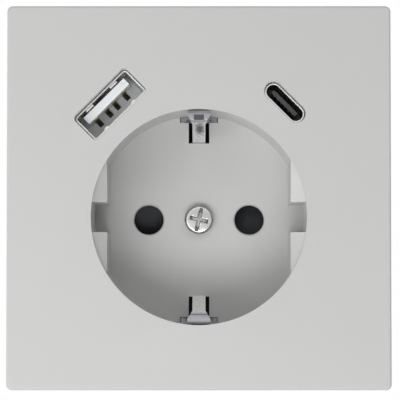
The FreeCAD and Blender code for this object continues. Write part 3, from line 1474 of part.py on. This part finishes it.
def make_board_parts():
    """The charger's other components, each standing on its board."""
    back = s.power_board_front - s.part_rest
    can = rod("input_can", -s.input_cap_x, back - s.input_cap_length, s.input_cap_z, s.input_cap_radius, back)
    keep(can, "input_capacitor")
    cans = []
    for k, z in enumerate((s.output_cap_low_z, s.output_cap_high_z)):
        cans.append(rod("output_can_" + str(k + 1), s.output_cap_x, back - s.output_cap_length, z,
                        s.output_cap_radius, back))
    keep(grouped("output_cans", cans), "output_capacitors")
    choke_front = back - s.choke_length
    keep(joined("choke_fusion", [
        rod("choke_waist", -s.choke_x, choke_front, s.choke_z, s.choke_waist, back),
        rod("choke_cap", -s.choke_x, choke_front, s.choke_z, s.choke_radius, choke_front + s.choke_flange),
        rod("choke_foot", -s.choke_x, back - s.choke_flange, s.choke_z, s.choke_radius, back),
    ]), "filter_choke")
    half = s.fuse_width / 2
    keep(block("fuse_box", -s.fuse_x - half, back - s.fuse_length, s.fuse_z - half, -s.fuse_x + half, back,
               s.fuse_z + half), "input_fuse")
    half = s.rectifier_width / 2
    rise = s.rectifier_depth / 2
    keep(block("rectifier_box", s.rectifier_x - half, back - s.rectifier_height, s.rectifier_z - rise,
               s.rectifier_x + half, back, s.rectifier_z + rise), "bridge_rectifier")
    half = s.chip_width / 2
    rise = s.chip_depth / 2
    keep(block("power_chip_box", s.chip_x - half, back - s.chip_height, s.chip_z - rise, s.chip_x + half,
               back, s.chip_z + rise), "power_chip")
    half = s.charge_chip_width / 2
    front = usb_board_back + s.part_rest
    keep(block("charge_chip_box", -half, front, s.charge_chip_z - half, half, front + s.charge_chip_height,
               s.charge_chip_z + half), "charge_chip")


def make_all():
    make_cover_plate()
    make_cover_screw()
    make_shutter_tray()
    make_shutter_rotor()
    make_shutter_spring()
    make_earth_bracket()
    make_bracket_rivets()
    make_support_ring()
    ring_front = -s.ring_sheet
    make_fasteners("ring_screws", RING_SCREWS, ring_front - s.fastener_head_height, ring_front,
                   s.fastener_length)
    make_insert_base()
    make_rear_cover()
    make_fasteners("rear_screws", REAR_SCREWS, cover_back - s.fastener_head_height, cover_back,
                   s.drum_depth - s.fastener_length)
    make_contact("live_contact", -1)
    make_contact("neutral_contact", 1)
    for pole, (x, rail_z) in POLES.items():
        make_clamp_spring(pole + "_clamp_spring", x, rail_z)
        make_release(pole + "_release", x, rail_z)
    make_usb_a()
    make_usb_c()
    make_usb_board()
    make_power_board()
    make_link_header()
    make_transformer()
    make_board_parts()


def write_parts():
    """Checks every object, then writes one STEP file for each sub-part."""
    doc.recompute()
    for thing in doc.Objects:
        if "Invalid" in thing.State or "Error" in thing.State:
            raise RuntimeError(thing.Name + " is in state " + ", ".join(thing.State))
    for thing in sub_parts:
        if thing.Shape.isNull() or not thing.Shape.isValid():
            raise RuntimeError(thing.Label + " has no valid shape")
    os.makedirs("parts", exist_ok=True)
    for thing in sub_parts:
        thing.Shape.exportStep("parts/" + thing.Label + ".step")


make_all()
write_parts()
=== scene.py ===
"""Visual model of the USB wall socket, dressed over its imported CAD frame. Metres; the front faces -Y."""

import json
import math

import bmesh
import bpy
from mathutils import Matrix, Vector


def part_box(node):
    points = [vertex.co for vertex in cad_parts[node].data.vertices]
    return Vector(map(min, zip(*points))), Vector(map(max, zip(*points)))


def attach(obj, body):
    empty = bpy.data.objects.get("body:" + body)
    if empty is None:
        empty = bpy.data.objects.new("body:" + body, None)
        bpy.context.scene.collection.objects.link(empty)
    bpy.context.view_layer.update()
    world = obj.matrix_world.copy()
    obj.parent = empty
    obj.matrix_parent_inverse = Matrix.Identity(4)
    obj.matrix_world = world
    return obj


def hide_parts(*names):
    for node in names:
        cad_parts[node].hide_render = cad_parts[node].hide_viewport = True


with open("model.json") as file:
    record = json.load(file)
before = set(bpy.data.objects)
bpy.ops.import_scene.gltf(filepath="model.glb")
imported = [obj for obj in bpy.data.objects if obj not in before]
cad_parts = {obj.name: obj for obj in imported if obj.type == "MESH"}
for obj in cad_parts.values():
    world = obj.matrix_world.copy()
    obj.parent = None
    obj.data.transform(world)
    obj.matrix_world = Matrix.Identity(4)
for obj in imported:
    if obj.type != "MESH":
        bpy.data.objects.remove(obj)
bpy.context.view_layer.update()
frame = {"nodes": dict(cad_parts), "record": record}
nodes = frame["nodes"]
scene = bpy.context.scene


def front_of(name):
    """The Y of a node's foremost point."""
    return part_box(name)[0][1]


MM = 0.001
PLATE_FACE = front_of("cover_plate")
# The well and the cover screw share one axis
WELL_Z = sum(corner[2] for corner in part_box("cover_screw")) / 2

# The cover screw's head: its crown before the slot and cross are cut, how far behind it the painted shade
# starts and is full, and how far from the axis the painted dark rim starts and is full
SCREW_CROWN = 5.7 * MM
HEAD_SHADE_START = 0.35 * MM
HEAD_SHADE_FULL = 0.85 * MM
RIM_START = 1.0 * MM
RIM_FULL = 1.6 * MM

# Places on the earth clips, all from the well's axis, and the sizes of the painted dark reflection on the
# upper tongue and of the painted shade along the lower fold
CLIP_PATCH_X = 0.15 * MM
CLIP_PATCH_UP = 16.35 * MM
CLIP_PATCH_INNER = 0.35 * MM
CLIP_PATCH_OUTER = 1.0 * MM
CLIP_PATCH_RAG = 0.45 * MM
CLIP_FOLD_DOWN = 17.75 * MM
CLIP_FOLD_HALF_WIDTH = 0.1 * MM
CLIP_STRIP_START = 17.82 * MM
CLIP_STRIP_END = 19.15 * MM
CLIP_STRIP_HALF_WIDTH = 2.55 * MM

# Small screws: the way that their heads face along Y, and the middles of their heads as X and Z in mm
SMALL_SCREWS = {
    "rear_screws": (1, ((-22.7, 0.0), (22.7, 0.0), (0.0, -25.8))),
    "ring_screws": (-1, ((-6.5, 25.6), (6.5, 25.6), (-17.3, -20.4), (17.3, -20.4))),
}
RECESS_ARM = 0.2 * MM
RECESS_REACH = 1.0 * MM
RECESS_DEPTH = 0.6 * MM
RECESS_TAPER = 0.7
CUTTER_ABOVE_HEAD = 0.1 * MM
# How far the painted shade on a recess's floor goes past its arms
RECESS_SHADOW = 0.02 * MM

# How far down from its top a can is bare metal
CAN_BARE_TOP = 0.2 * MM

# Widths of the edges that are rounded by modifiers, in mm
SOFT_EDGES = {
    "earth_bracket": 0.07, "cover_screw": 0.06, "usb_a_tongue": 0.08, "usb_a_shell": 0.05,
    "usb_c_shell": 0.05, "usb_c_tongue": 0.06, "live_release": 0.2, "neutral_release": 0.2,
    "earth_release": 0.2, "input_fuse": 0.3, "transformer_core": 0.2, "bridge_rectifier": 0.15,
    "power_chip": 0.12, "charge_chip": 0.1, "shutter_rotor": 0.1,
}
SHARP_ANGLE = math.radians(35)
WELD_GAP = 0.001 * MM

# How far a pattern's step is blurred to each side, and how deep a fine grain goes
FINE_BLUR = 0.04 * MM
BLUR = 0.05 * MM
GRAIN_DEPTH = 0.002 * MM
# Pointiness of flat faces and of clearly convex edges
FLAT = 0.5
CONVEX = 0.58

# Colours that more than one material takes, and the plate's own
PLATE_GREY = (0.575, 0.575, 0.57)
FASTENER_STEEL = (0.38, 0.38, 0.39)
BRASS = (0.72, 0.5, 0.2)
CAN_METAL = (0.7, 0.7, 0.71)
WHITE = (1.0, 1.0, 1.0)

# The studio
FLOOR_SIZE = 1.1
FLOOR_HEIGHT = -0.32
AMBIENT = 0.15
# Each lamp: azimuth from the front, elevation, distance, disk size and power
LAMPS = {
    "below": (0, -35, 0.5, 0.3, 1.4),
    "low_left": (-30, -18, 0.5, 0.3, 0.54),
    "low_side": (-60, -18, 0.5, 0.3, 0.45),
    "above": (0, 40, 0.5, 0.3, 0.25),
    "above_right": (30, 40, 0.5, 0.3, 0.22),
    "side": (-60, 0, 0.5, 0.3, 0.12),
    "above_left": (-30, 18, 0.5, 0.3, 0.1),
    "back_left": (-145, 25, 0.6, 0.8, 1.2),
    "back_right": (145, 25, 0.6, 0.8, 1.2),
}

# The camera: its place and aim are from the frame's origin, and the last two set how much it sees
CAMERA_DISTANCE = 0.424
CAMERA_X = 0.5 * MM
CAMERA_Z = -18 * MM
AIM_X = 0.2 * MM
AIM_Z = -0.45 * MM
PICTURE_WIDTH = 400
PIXELS_PER_MM = 5.5


class Graph:
    """The shader nodes of one material or world."""

    def __init__(self, tree):
        self.tree = tree

    def feed(self, socket, value):
        """Links another node's socket or sets a plain value; a colour is three numbers."""
        if isinstance(value, bpy.types.NodeSocket):
            self.tree.links.new(value, socket)
        elif socket.type == "RGBA":
            socket.default_value = (*value, 1.0)
        else:
            socket.default_value = value

    def add(self, kind, inputs=None, **settings):
        """Adds a node, sets its properties and feeds its inputs by name or number."""
        node = self.tree.nodes.new(kind)
        for key, value in settings.items():
            setattr(node, key, value)
        for key, value in (inputs or {}).items():
            self.feed(node.inputs[key], value)
        return node

    def maths(self, operation, one, other=0.0):
        return self.add("ShaderNodeMath", {0: one, 1: other}, operation=operation).outputs["Value"]


class Recipe(Graph):
    """A small builder for one procedural material."""

    def __init__(self, name):
        self.material = bpy.data.materials.new(name)
        self.material.use_nodes = True
        super().__init__(self.material.node_tree)
        self.shader = self.tree.nodes["Principled BSDF"]
        self.place = self.add("ShaderNodeTexCoord").outputs["Object"]

    def noise(self, scale, detail=3.0, roughness=0.5, stretch=None):
        """Noise in object space; scale is in features per metre."""
        place = self.place
        if stretch:
            place = self.add("ShaderNodeMapping", {"Scale": stretch, "Vector": place}).outputs["Vector"]
        inputs = {"Scale": scale, "Detail": detail, "Roughness": roughness, "Vector": place}
        return self.add("ShaderNodeTexNoise", inputs).outputs["Fac"]

    def cells(self, scale, **settings):
        """Distance in a pattern of cells; scale is in cells per metre."""
        inputs = {"Vector": self.place, "Scale": scale}
        return self.add("ShaderNodeTexVoronoi", inputs, **settings).outputs["Distance"]

    def span(self, value, low, high, start=0.0, end=1.0):
        """Maps a value from low..high to start..end, clamped."""
        inputs = {"Value": value, "From Min": low, "From Max": high, "To Min": start, "To Max": end}
        return self.add("ShaderNodeMapRange", inputs).outputs["Result"]

    def above(self, value, edge, blur, most=1.0):
        """0 below an edge and most above it, with a blurred step."""
        return self.span(value, edge - blur, edge + blur, 0.0, most)

    def below(self, value, edge, blur, most=1.0):
        """0 above an edge and most below it, with a blurred step."""
        return self.span(value, edge + blur, edge - blur, 0.0, most)

    def times(self, one, other):
        return self.maths("MULTIPLY", one, other)

    def mix(self, factor, one, other):
        """Blends two colours; a factor of 0 gives the first."""
        node = self.add("ShaderNodeMix", {"Factor": factor}, data_type="RGBA")
        sockets = [socket for socket in node.inputs if socket.type == "RGBA"]
        for socket, colour in zip(sockets, (one, other)):
            self.feed(socket, colour)
        return next(socket for socket in node.outputs if socket.type == "RGBA")

    def axis(self, name):
        """One coordinate of the shaded point."""
        return self.add("ShaderNodeSeparateXYZ", {"Vector": self.place}).outputs[name]

    def away(self, name, place):
        """Distance from a place on one axis."""
        return self.maths("ABSOLUTE", self.maths("SUBTRACT", self.axis(name), place))

    def from_axis(self, x, z):
        """Distance from a line along Y."""
        flat = self.add("ShaderNodeCombineXYZ", {"X": self.axis("X"), "Z": self.axis("Z")})
        ends = {0: flat.outputs["Vector"], 1: (x, 0.0, z)}
        return self.add("ShaderNodeVectorMath", ends, operation="DISTANCE").outputs["Value"]

    def front_facing(self, low, high):
        """1 on faces that look along Y, 0 on faces that run along it."""
        normal = self.add("ShaderNodeNewGeometry").outputs["True Normal"]
        parts = self.add("ShaderNodeSeparateXYZ", {"Vector": normal})
        return self.span(self.maths("ABSOLUTE", parts.outputs["Y"]), low, high)

    def edges(self, most):
        """0 on flat faces and most on convex edges."""
        pointiness = self.add("ShaderNodeNewGeometry").outputs["Pointiness"]
        return self.span(pointiness, FLAT, CONVEX, 0.0, most)

    def bump(self, height, depth, strength):
        inputs = {"Strength": strength, "Distance": depth, "Height": height}
        self.feed(self.shader.inputs["Normal"], self.add("ShaderNodeBump", inputs).outputs["Normal"])

    def plating(self, grain, roughness):
        """Gives a plated metal's grain its relief, and returns the roughness that goes with it."""
        self.bump(grain, GRAIN_DEPTH, strength=0.6)
        return self.span(grain, 0.3, 0.75, roughness - 0.06, roughness + 0.1)

    def finish(self, colour, roughness, metallic=0.0, **more):
        """Feeds the shader and returns the material."""
        inputs = {"Base_Color": colour, "Roughness": roughness, "Metallic": metallic, **more}
        for key, value in inputs.items():
            self.feed(self.shader.inputs[key.replace("_", " ")], value)
        return self.material


def shade(colour, factor):
    """A colour made darker or lighter."""
    return tuple(min(1.0, part * factor) for part in colour)


def moulded(name, colour, roughness=0.45, grain=9000.0, depth=0.004 * MM, flow=0.03, wear=1.06):
    """Moulded plastic: a fine grain, faint flow clouds and slightly lighter edges."""
    look = Recipe(name)
    clouds = look.noise(scale=60.0, detail=4.0, roughness=0.6)
    specks = look.noise(scale=grain, detail=2.0, roughness=0.6)
    tone = look.mix(look.span(clouds, 0.3, 0.7), shade(colour, 1 - flow), shade(colour, 1 + flow))
    tone = look.mix(look.span(specks, 0.62, 0.75, 0.0, 0.35), tone, shade(colour, 0.82))
    tone = look.mix(look.edges(0.6), tone, shade(colour, wear))
    look.bump(specks, depth, strength=0.5)
    sheen = look.noise(scale=700.0)
    return look.finish(tone, look.span(sheen, 0.3, 0.7, roughness - 0.05, roughness + 0.06))


def sheet_metal(name, colour, roughness=0.3, brush=(1.0, 1.0, 12.0), tarnish_and_dark_reflection=0.8):
    """Rolled or plated sheet: a drawn grain, dull patches and brighter rubbed edges."""
    look = Recipe(name)
    grain = look.noise(scale=1800.0, detail=4.0, roughness=0.65, stretch=brush)
    patches = look.noise(scale=220.0, detail=5.0, roughness=0.6)
    tone = look.mix(look.span(patches, 0.35, 0.75), colour, shade(colour, tarnish_and_dark_reflection))
    tone = look.mix(look.span(grain, 0.4, 0.7, 0.0, 0.3), tone, shade(colour, 0.85))
    tone = look.mix(look.edges(0.7), tone, shade(colour, 1.2))
    look.bump(grain, GRAIN_DEPTH, strength=0.6)
    return look.finish(tone, look.span(grain, 0.3, 0.75, roughness - 0.08, roughness + 0.12), 1.0)


def screw_head(name, colour, crown, roughness):
    """Plated screw with painted shade deep in its recess and round its rim; crown is the Y of its head's
    middle.
    """
    look = Recipe(name)
    grain = look.noise(scale=2400.0, detail=4.0, roughness=0.65)
    shade_noise = look.noise(scale=1500.0, detail=2.0, roughness=0.6)
    # Painted shade that grows with depth behind the crown
    painted_depth_shade = look.span(look.axis("Y"), crown + HEAD_SHADE_START, crown + HEAD_SHADE_FULL, 0.0, 0.8)
    patchy_shade = look.span(shade_noise, 0.46, 0.54, 0.0, 0.35)
    rim = look.span(look.from_axis(0.0, WELL_Z), RIM_START, RIM_FULL)
    tone = look.mix(look.span(grain, 0.35, 0.75), colour, shade(colour, 0.88))
    # Painted shade in patches within the recess and all round the head's rim
    tone = look.mix(look.times(painted_depth_shade, look.maths("MAXIMUM", patchy_shade, rim)), tone, shade(colour, 0.14))
    tone = look.mix(look.edges(0.5), tone, shade(colour, 1.25))
    return look.finish(tone, look.plating(grain, roughness), 1.0)


def small_screws(name, colour, centres, roughness):
    """Plated screws with painted shade on the floors of their cross recesses; centres are the heads' X and
    Z in mm.
    """
    look = Recipe(name)
    grain = look.noise(scale=2400.0, detail=4.0, roughness=0.65)
    recess_floor_shade = 0.0
    for x, z in centres:
        across = look.away("X", x * MM)
        along = look.away("Z", z * MM)
        arm = look.below(look.maths("MINIMUM", across, along), RECESS_ARM + RECESS_SHADOW, FINE_BLUR)
        reach = look.below(look.maths("MAXIMUM", across, along), RECESS_REACH, BLUR)
        recess_floor_shade = look.maths("MAXIMUM", look.times(arm, reach), recess_floor_shade)
    tone = look.mix(look.span(grain, 0.35, 0.75), colour, shade(colour, 0.85))
    # Painted shade on the recess floors, which face along Y
    tone = look.mix(look.times(recess_floor_shade, look.front_facing(0.8, 0.95)), tone, shade(colour, 0.1))
    return look.finish(tone, look.plating(grain, roughness), 1.0)


def clip_metal(name, rubbed, plated, roughness):
    """Earth clips: tongues rubbed bright, with a painted dark reflection on the upper tongue, painted
    shade along the lower fold, and dull plated flats near the rim.
    """
    look = Recipe(name)
    grain = look.noise(scale=2600.0, detail=4.0, roughness=0.7, stretch=(1.0, 0.25, 1.0))
    tone = look.mix(look.front_facing(0.45, 0.9), rubbed, plated)
    tone = look.mix(look.span(grain, 0.5, 0.75, 0.0, 0.35), tone, shade(plated, 0.6))
    # Painted dark reflection: a ragged patch on the upper tongue
    ragged = look.span(grain, 0.3, 0.7, -CLIP_PATCH_RAG, CLIP_PATCH_RAG)
    patch = look.maths("ADD", look.from_axis(CLIP_PATCH_X, WELL_Z + CLIP_PATCH_UP), ragged)
    tarnish_and_dark_reflection = look.span(patch, CLIP_PATCH_OUTER, CLIP_PATCH_INNER, 0.0, 0.9)
    tone = look.mix(tarnish_and_dark_reflection, tone, shade(plated, 0.1))
    rim = look.away("Z", WELL_Z)
    along = look.times(look.above(rim, CLIP_STRIP_START, FINE_BLUR), look.below(rim, CLIP_STRIP_END, BLUR))
    strip = look.times(along, look.below(look.away("X", 0.0), CLIP_STRIP_HALF_WIDTH, BLUR))
    tone = look.mix(strip, tone, shade(plated, 0.92))
    # Painted shade along the crease of the lower clip's fold
    fold = look.away("Z", WELL_Z - CLIP_FOLD_DOWN)
    tone = look.mix(look.below(fold, CLIP_FOLD_HALF_WIDTH, FINE_BLUR, 0.75), tone, shade(plated, 0.2))
    rough = look.maths("ADD", look.plating(grain, roughness), look.times(strip, 0.2))
    return look.finish(tone, rough, look.span(strip, 0.0, 1.0, 1.0, 0.3))


def circuit_board(name, mask, copper):
    """Solder mask over copper: tracks, ground areas and tinned vias."""
    look = Recipe(name)
    track = look.span(look.cells(420.0, feature="DISTANCE_TO_EDGE", distance="CHEBYCHEV"), 0.06, 0.1)
    pad = look.span(look.cells(300.0, feature="F1"), 0.16, 0.13)
    weave = look.noise(scale=5000.0, detail=2.0)
    tone = look.mix(track, shade(mask, 0.7), shade(mask, 1.35))
    tone = look.mix(look.span(weave, 0.4, 0.6, 0.0, 0.2), tone, shade(mask, 0.6))
    tone = look.mix(pad, tone, copper)
    look.bump(look.maths("ADD", track, pad), depth=0.02 * MM, strength=0.4)
    return look.finish(tone, look.span(weave, 0.3, 0.7, 0.28, 0.42))


def sleeve_can(name, sleeve, front):
    """Shrink sleeve round a can whose bare metal top is at the front; front is the top's Y."""
    look = Recipe(name)
    bare = look.below(look.axis("Y"), front + CAN_BARE_TOP, BLUR)
    sheen = look.noise(scale=900.0)
    tone = look.mix(look.span(sheen, 0.3, 0.7), sleeve, shade(sleeve, 1.6))
    tone = look.mix(bare, tone, CAN_METAL)
    look.bump(sheen, depth=0.01 * MM, strength=0.3)
    return look.finish(tone, look.span(sheen, 0.2, 0.8, 0.25, 0.4), bare)


def wound_tape(name, colour):
    """Film tape over wire: close turns that run round the bobbin, with overlaps."""
    look = Recipe(name)
    waves = {"Scale": 900.0, "Distortion": 0.4, "Vector": look.place}
    turns = look.add("ShaderNodeTexWave", waves, bands_direction="Y").outputs["Fac"]
    creases = look.noise(scale=500.0, detail=4.0, roughness=0.6, stretch=(1.0, 4.0, 1.0))
    tone = look.mix(turns, shade(colour, 0.75), colour)
    tone = look.mix(look.span(creases, 0.55, 0.7, 0.0, 0.5), tone, shade(colour, 0.55))
    look.bump(look.maths("ADD", turns, creases), depth=0.03 * MM, strength=0.5)
    return look.finish(tone, look.span(creases, 0.3, 0.7, 0.2, 0.35), Coat_Weight=0.3)


def satin_plastic(name, colour):
    """Black plastic, satin, with the dull rub marks that plug pins leave."""
    look = Recipe(name)
    rub = look.noise(scale=350.0, detail=5.0, roughness=0.65)
    specks = look.noise(scale=8000.0, detail=2.0)
    tone = look.mix(look.span(rub, 0.5, 0.75), colour, shade(colour, 1.7))
    tone = look.mix(look.span(specks, 0.6, 0.75, 0.0, 0.3), tone, shade(colour, 0.6))
    look.bump(specks, depth=0.004 * MM, strength=0.4)
    return look.finish(tone, look.span(rub, 0.4, 0.7, 0.62, 0.72), Specular_IOR_Level=0.25)


def dress(thing, material):
    """Gives an object one material."""
    thing.data.materials.clear()
    thing.data.materials.append(material)


LOOKS = {
    "plate_plastic": moulded("plate_plastic", PLATE_GREY, 0.42, grain=11000.0, depth=GRAIN_DEPTH,
                             flow=0.008, wear=1.03),
    "screw_steel": sheet_metal("screw_steel", FASTENER_STEEL, 0.34, brush=(1, 1, 1), tarnish_and_dark_reflection=0.85),
    "shutter_plastic": satin_plastic("shutter_plastic", (0.024, 0.026, 0.029)),
    "spring_steel": sheet_metal("spring_steel", (0.5, 0.51, 0.53), 0.28, brush=(8, 1, 1)),
    "tray_plastic": moulded("tray_plastic", (0.035, 0.035, 0.038), 0.5, flow=0.1),
    "ring_steel": sheet_metal("ring_steel", (0.42, 0.43, 0.44), 0.48, brush=(12, 1, 1), tarnish_and_dark_reflection=0.7),
    "base_plastic": moulded("base_plastic", (0.02, 0.02, 0.022), 0.55, flow=0.06, wear=1.3),
    "rear_plastic": moulded("rear_plastic", (0.55, 0.55, 0.53), 0.5),
    "earth_metal": clip_metal("earth_metal", (0.92, 0.92, 0.91), (0.33, 0.33, 0.36), 0.36),
    "rivet_brass": sheet_metal("rivet_brass", BRASS, tarnish_and_dark_reflection=0.75),
    "contact_brass": sheet_metal("contact_brass", BRASS, 0.27, brush=(1, 10, 1), tarnish_and_dark_reflection=0.78),
    "live_button": moulded("live_button", (0.36, 0.08, 0.035), 0.4),
    "neutral_button": moulded("neutral_button", (0.04, 0.14, 0.42), 0.4),
    "earth_button": moulded("earth_button", (0.1, 0.36, 0.07), 0.4),
    "port_steel": sheet_metal("port_steel", (0.7, 0.69, 0.67), 0.26, brush=(1, 9, 1), tarnish_and_dark_reflection=0.85),
    "tongue_white": moulded("tongue_white", (0.89, 0.92, 0.95), 0.42, flow=0.01, wear=1.0),
    "tongue_grey": moulded("tongue_grey", (0.06, 0.063, 0.068), 0.4, flow=0.08),
    "port_contact": sheet_metal("port_contact", (0.34, 0.31, 0.19), 0.32),
    "board_green": circuit_board("board_green", (0.03, 0.2, 0.075), (0.55, 0.52, 0.4)),
    "board_black": circuit_board("board_black", (0.014, 0.016, 0.015), (0.4, 0.38, 0.3)),
    "header_black": moulded("header_black", (0.028, 0.028, 0.03), 0.4),
    "ferrite": moulded("ferrite", (0.055, 0.055, 0.06), 0.62, grain=5000.0, depth=0.02 * MM, flow=0.12),
    "bobbin_plastic": moulded("bobbin_plastic", (0.03, 0.03, 0.03)),
    "winding_tape": wound_tape("winding_tape", (0.78, 0.5, 0.04)),
    "capacitor_black": sleeve_can("capacitor_black", (0.025, 0.026, 0.04), front_of("input_capacitor")),
    "fuse_plastic": moulded("fuse_plastic", (0.12, 0.05, 0.035), 0.35),
    "chip_black": moulded("chip_black", (0.02, 0.02, 0.022), 0.5, grain=6000.0, depth=0.01 * MM),
}
for part in frame["record"]["subparts"]:
    dress(nodes[part["node"]], LOOKS[part["material_slot"]])

# Two nodes whose looks follow their own places instead of their slot's look
dress(nodes["cover_screw"], screw_head("cover_screw_steel", (0.47, 0.47, 0.46), SCREW_CROWN, 0.26))
dress(nodes["output_capacitors"],
      sleeve_can("output_can_sleeve", (0.03, 0.03, 0.05), front_of("output_capacitors")))


def weld(thing):
    """Joins the doubled points that a frame mesh has between its faces."""
    thing.modifiers.new("weld", "WELD").merge_threshold = WELD_GAP


def soften(thing, width):
    """Rounds sharp edges by modifiers, as tools and plating leave them."""
    weld(thing)
    bevel = thing.modifiers.new("soften", "BEVEL")
    bevel.width = width
    bevel.segments = 2
    bevel.limit_method = "ANGLE"
    bevel.angle_limit = SHARP_ANGLE
    bevel.harden_normals = True


for name, width in SOFT_EDGES.items():
    soften(nodes[name], width * MM)


def cross_outline():
    """Corners of a cross round the origin, clockwise."""
    corners = [(RECESS_ARM, RECESS_REACH), (RECESS_ARM, RECESS_ARM), (RECESS_REACH, RECESS_ARM)]
    outline = []
    for quarter in range(4):
        outline += corners
        corners = [(z, -x) for x, z in corners]
    return outline


def cross_cutter(centres, face, way):
    """Tapered crosses that reach from above a head's face into it; way is the direction the heads face."""
    outline = cross_outline()
    levels = ((face + CUTTER_ABOVE_HEAD * way, 1.0), (face - RECESS_DEPTH * way, RECESS_TAPER))
    mesh = bmesh.new()
    for x, z in centres:
        rings = []
        for y, scale in levels:
            rings.append([mesh.verts.new((x * MM + right * scale, y, z * MM + up * scale))
                          for right, up in outline])
        top, foot = rings
        for side in range(len(outline)):
            mesh.faces.new((top[side - 1], top[side], foot[side], foot[side - 1]))
        mesh.faces.new(top)
        mesh.faces.new(foot[::-1])
    bmesh.ops.recalc_face_normals(mesh, faces=mesh.faces)
    data = bpy.data.meshes.new("cutter")
    mesh.to_mesh(data)
    mesh.free()
    return data


def recess_heads(name, way, centres):
    """Stands in for a node of small screws, with a cross recess in each head."""
    low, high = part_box(name)
    face = high[1] if way > 0 else low[1]
    piece = bpy.data.objects.new(name + "_recessed", nodes[name].data.copy())
    cutter = bpy.data.objects.new("cutter", cross_cutter(centres, face, way))
    scene.collection.objects.link(piece)
    scene.collection.objects.link(cutter)
    weld(piece)
    piece.modifiers.new("cut", "BOOLEAN").object = cutter
    shaped = bpy.data.meshes.new_from_object(piece.evaluated_get(bpy.context.evaluated_depsgraph_get()))
    piece.modifiers.clear()
    piece.data = shaped
    bpy.data.objects.remove(cutter)
    dress(piece, small_screws(name + "_steel", FASTENER_STEEL, centres, 0.34))
    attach(piece, "base")
    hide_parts(name)


for name, (way, centres) in SMALL_SCREWS.items():
    recess_heads(name, way, centres)


def lay_floor():
    """A pale painted floor, well below the part."""
    bpy.ops.mesh.primitive_plane_add(size=FLOOR_SIZE, location=(0, 0, FLOOR_HEIGHT))
    floor = bpy.context.object
    floor.name = "floor"
    paint = Recipe("floor_paint")
    tone = paint.mix(paint.noise(scale=9.0, detail=4.0), (0.8, 0.8, 0.8), (0.84, 0.84, 0.835))
    dress(floor, paint.finish(tone, 0.8))


def surround():
    """White surroundings: full to the camera and in reflections, dim in what they light."""
    world = bpy.data.worlds.new("studio")
    scene.world = world
    world.use_nodes = True
    world.node_tree.nodes.clear()
    graph = Graph(world.node_tree)
    rays = graph.add("ShaderNodeLightPath").outputs
    passed_on = graph.maths("MAXIMUM", rays["Is Glossy Ray"], rays["Is Transmission Ray"])
    seen = graph.maths("MAXIMUM", rays["Is Camera Ray"], passed_on)
    dim = graph.add("ShaderNodeBackground", {"Color": WHITE, "Strength": AMBIENT})
    full = graph.add("ShaderNodeBackground", {"Color": WHITE, "Strength": 1.0})
    both = graph.add("ShaderNodeMixShader", {0: seen, 1: dim.outputs[0], 2: full.outputs[0]})
    graph.add("ShaderNodeOutputWorld", {"Surface": both.outputs[0]})


def point_at(name, data, place, target):
    """Adds a lamp or camera that looks from its place at a target."""
    thing = bpy.data.objects.new(name, data)
    scene.collection.objects.link(thing)
    thing.location = place
    thing.rotation_euler = (target - place).to_track_quat("-Z", "Y").to_euler()
    return thing


def hang_lamps():
    """Plain soft lamps round the middle of the plate."""
    target = Vector((0, PLATE_FACE, 0))
    for name, (azimuth, elevation, distance, size, power) in LAMPS.items():
        turn = math.radians(azimuth)
        rise = math.radians(elevation)
        away = Vector((math.sin(turn) * math.cos(rise), -math.cos(turn) * math.cos(rise), math.sin(rise)))
        data = bpy.data.lights.new(name, "AREA")
        data.shape = "DISK"
        data.size = size
        data.energy = power
        point_at(name, data, target + away * distance, target)


def aim_camera():
    """Long lens from a little below the well's middle, as the photo's depth cues show."""
    data = bpy.data.cameras.new("camera")
    data.lens = data.sensor_width * CAMERA_DISTANCE / (PICTURE_WIDTH / PIXELS_PER_MM * MM)
    place = Vector((CAMERA_X, PLATE_FACE - CAMERA_DISTANCE, CAMERA_Z))
    scene.camera = point_at("camera", data, place, Vector((AIM_X, PLATE_FACE, AIM_Z)))


lay_floor()
surround()
hang_lamps()
aim_camera()
scene.view_settings.view_transform = "Standard"
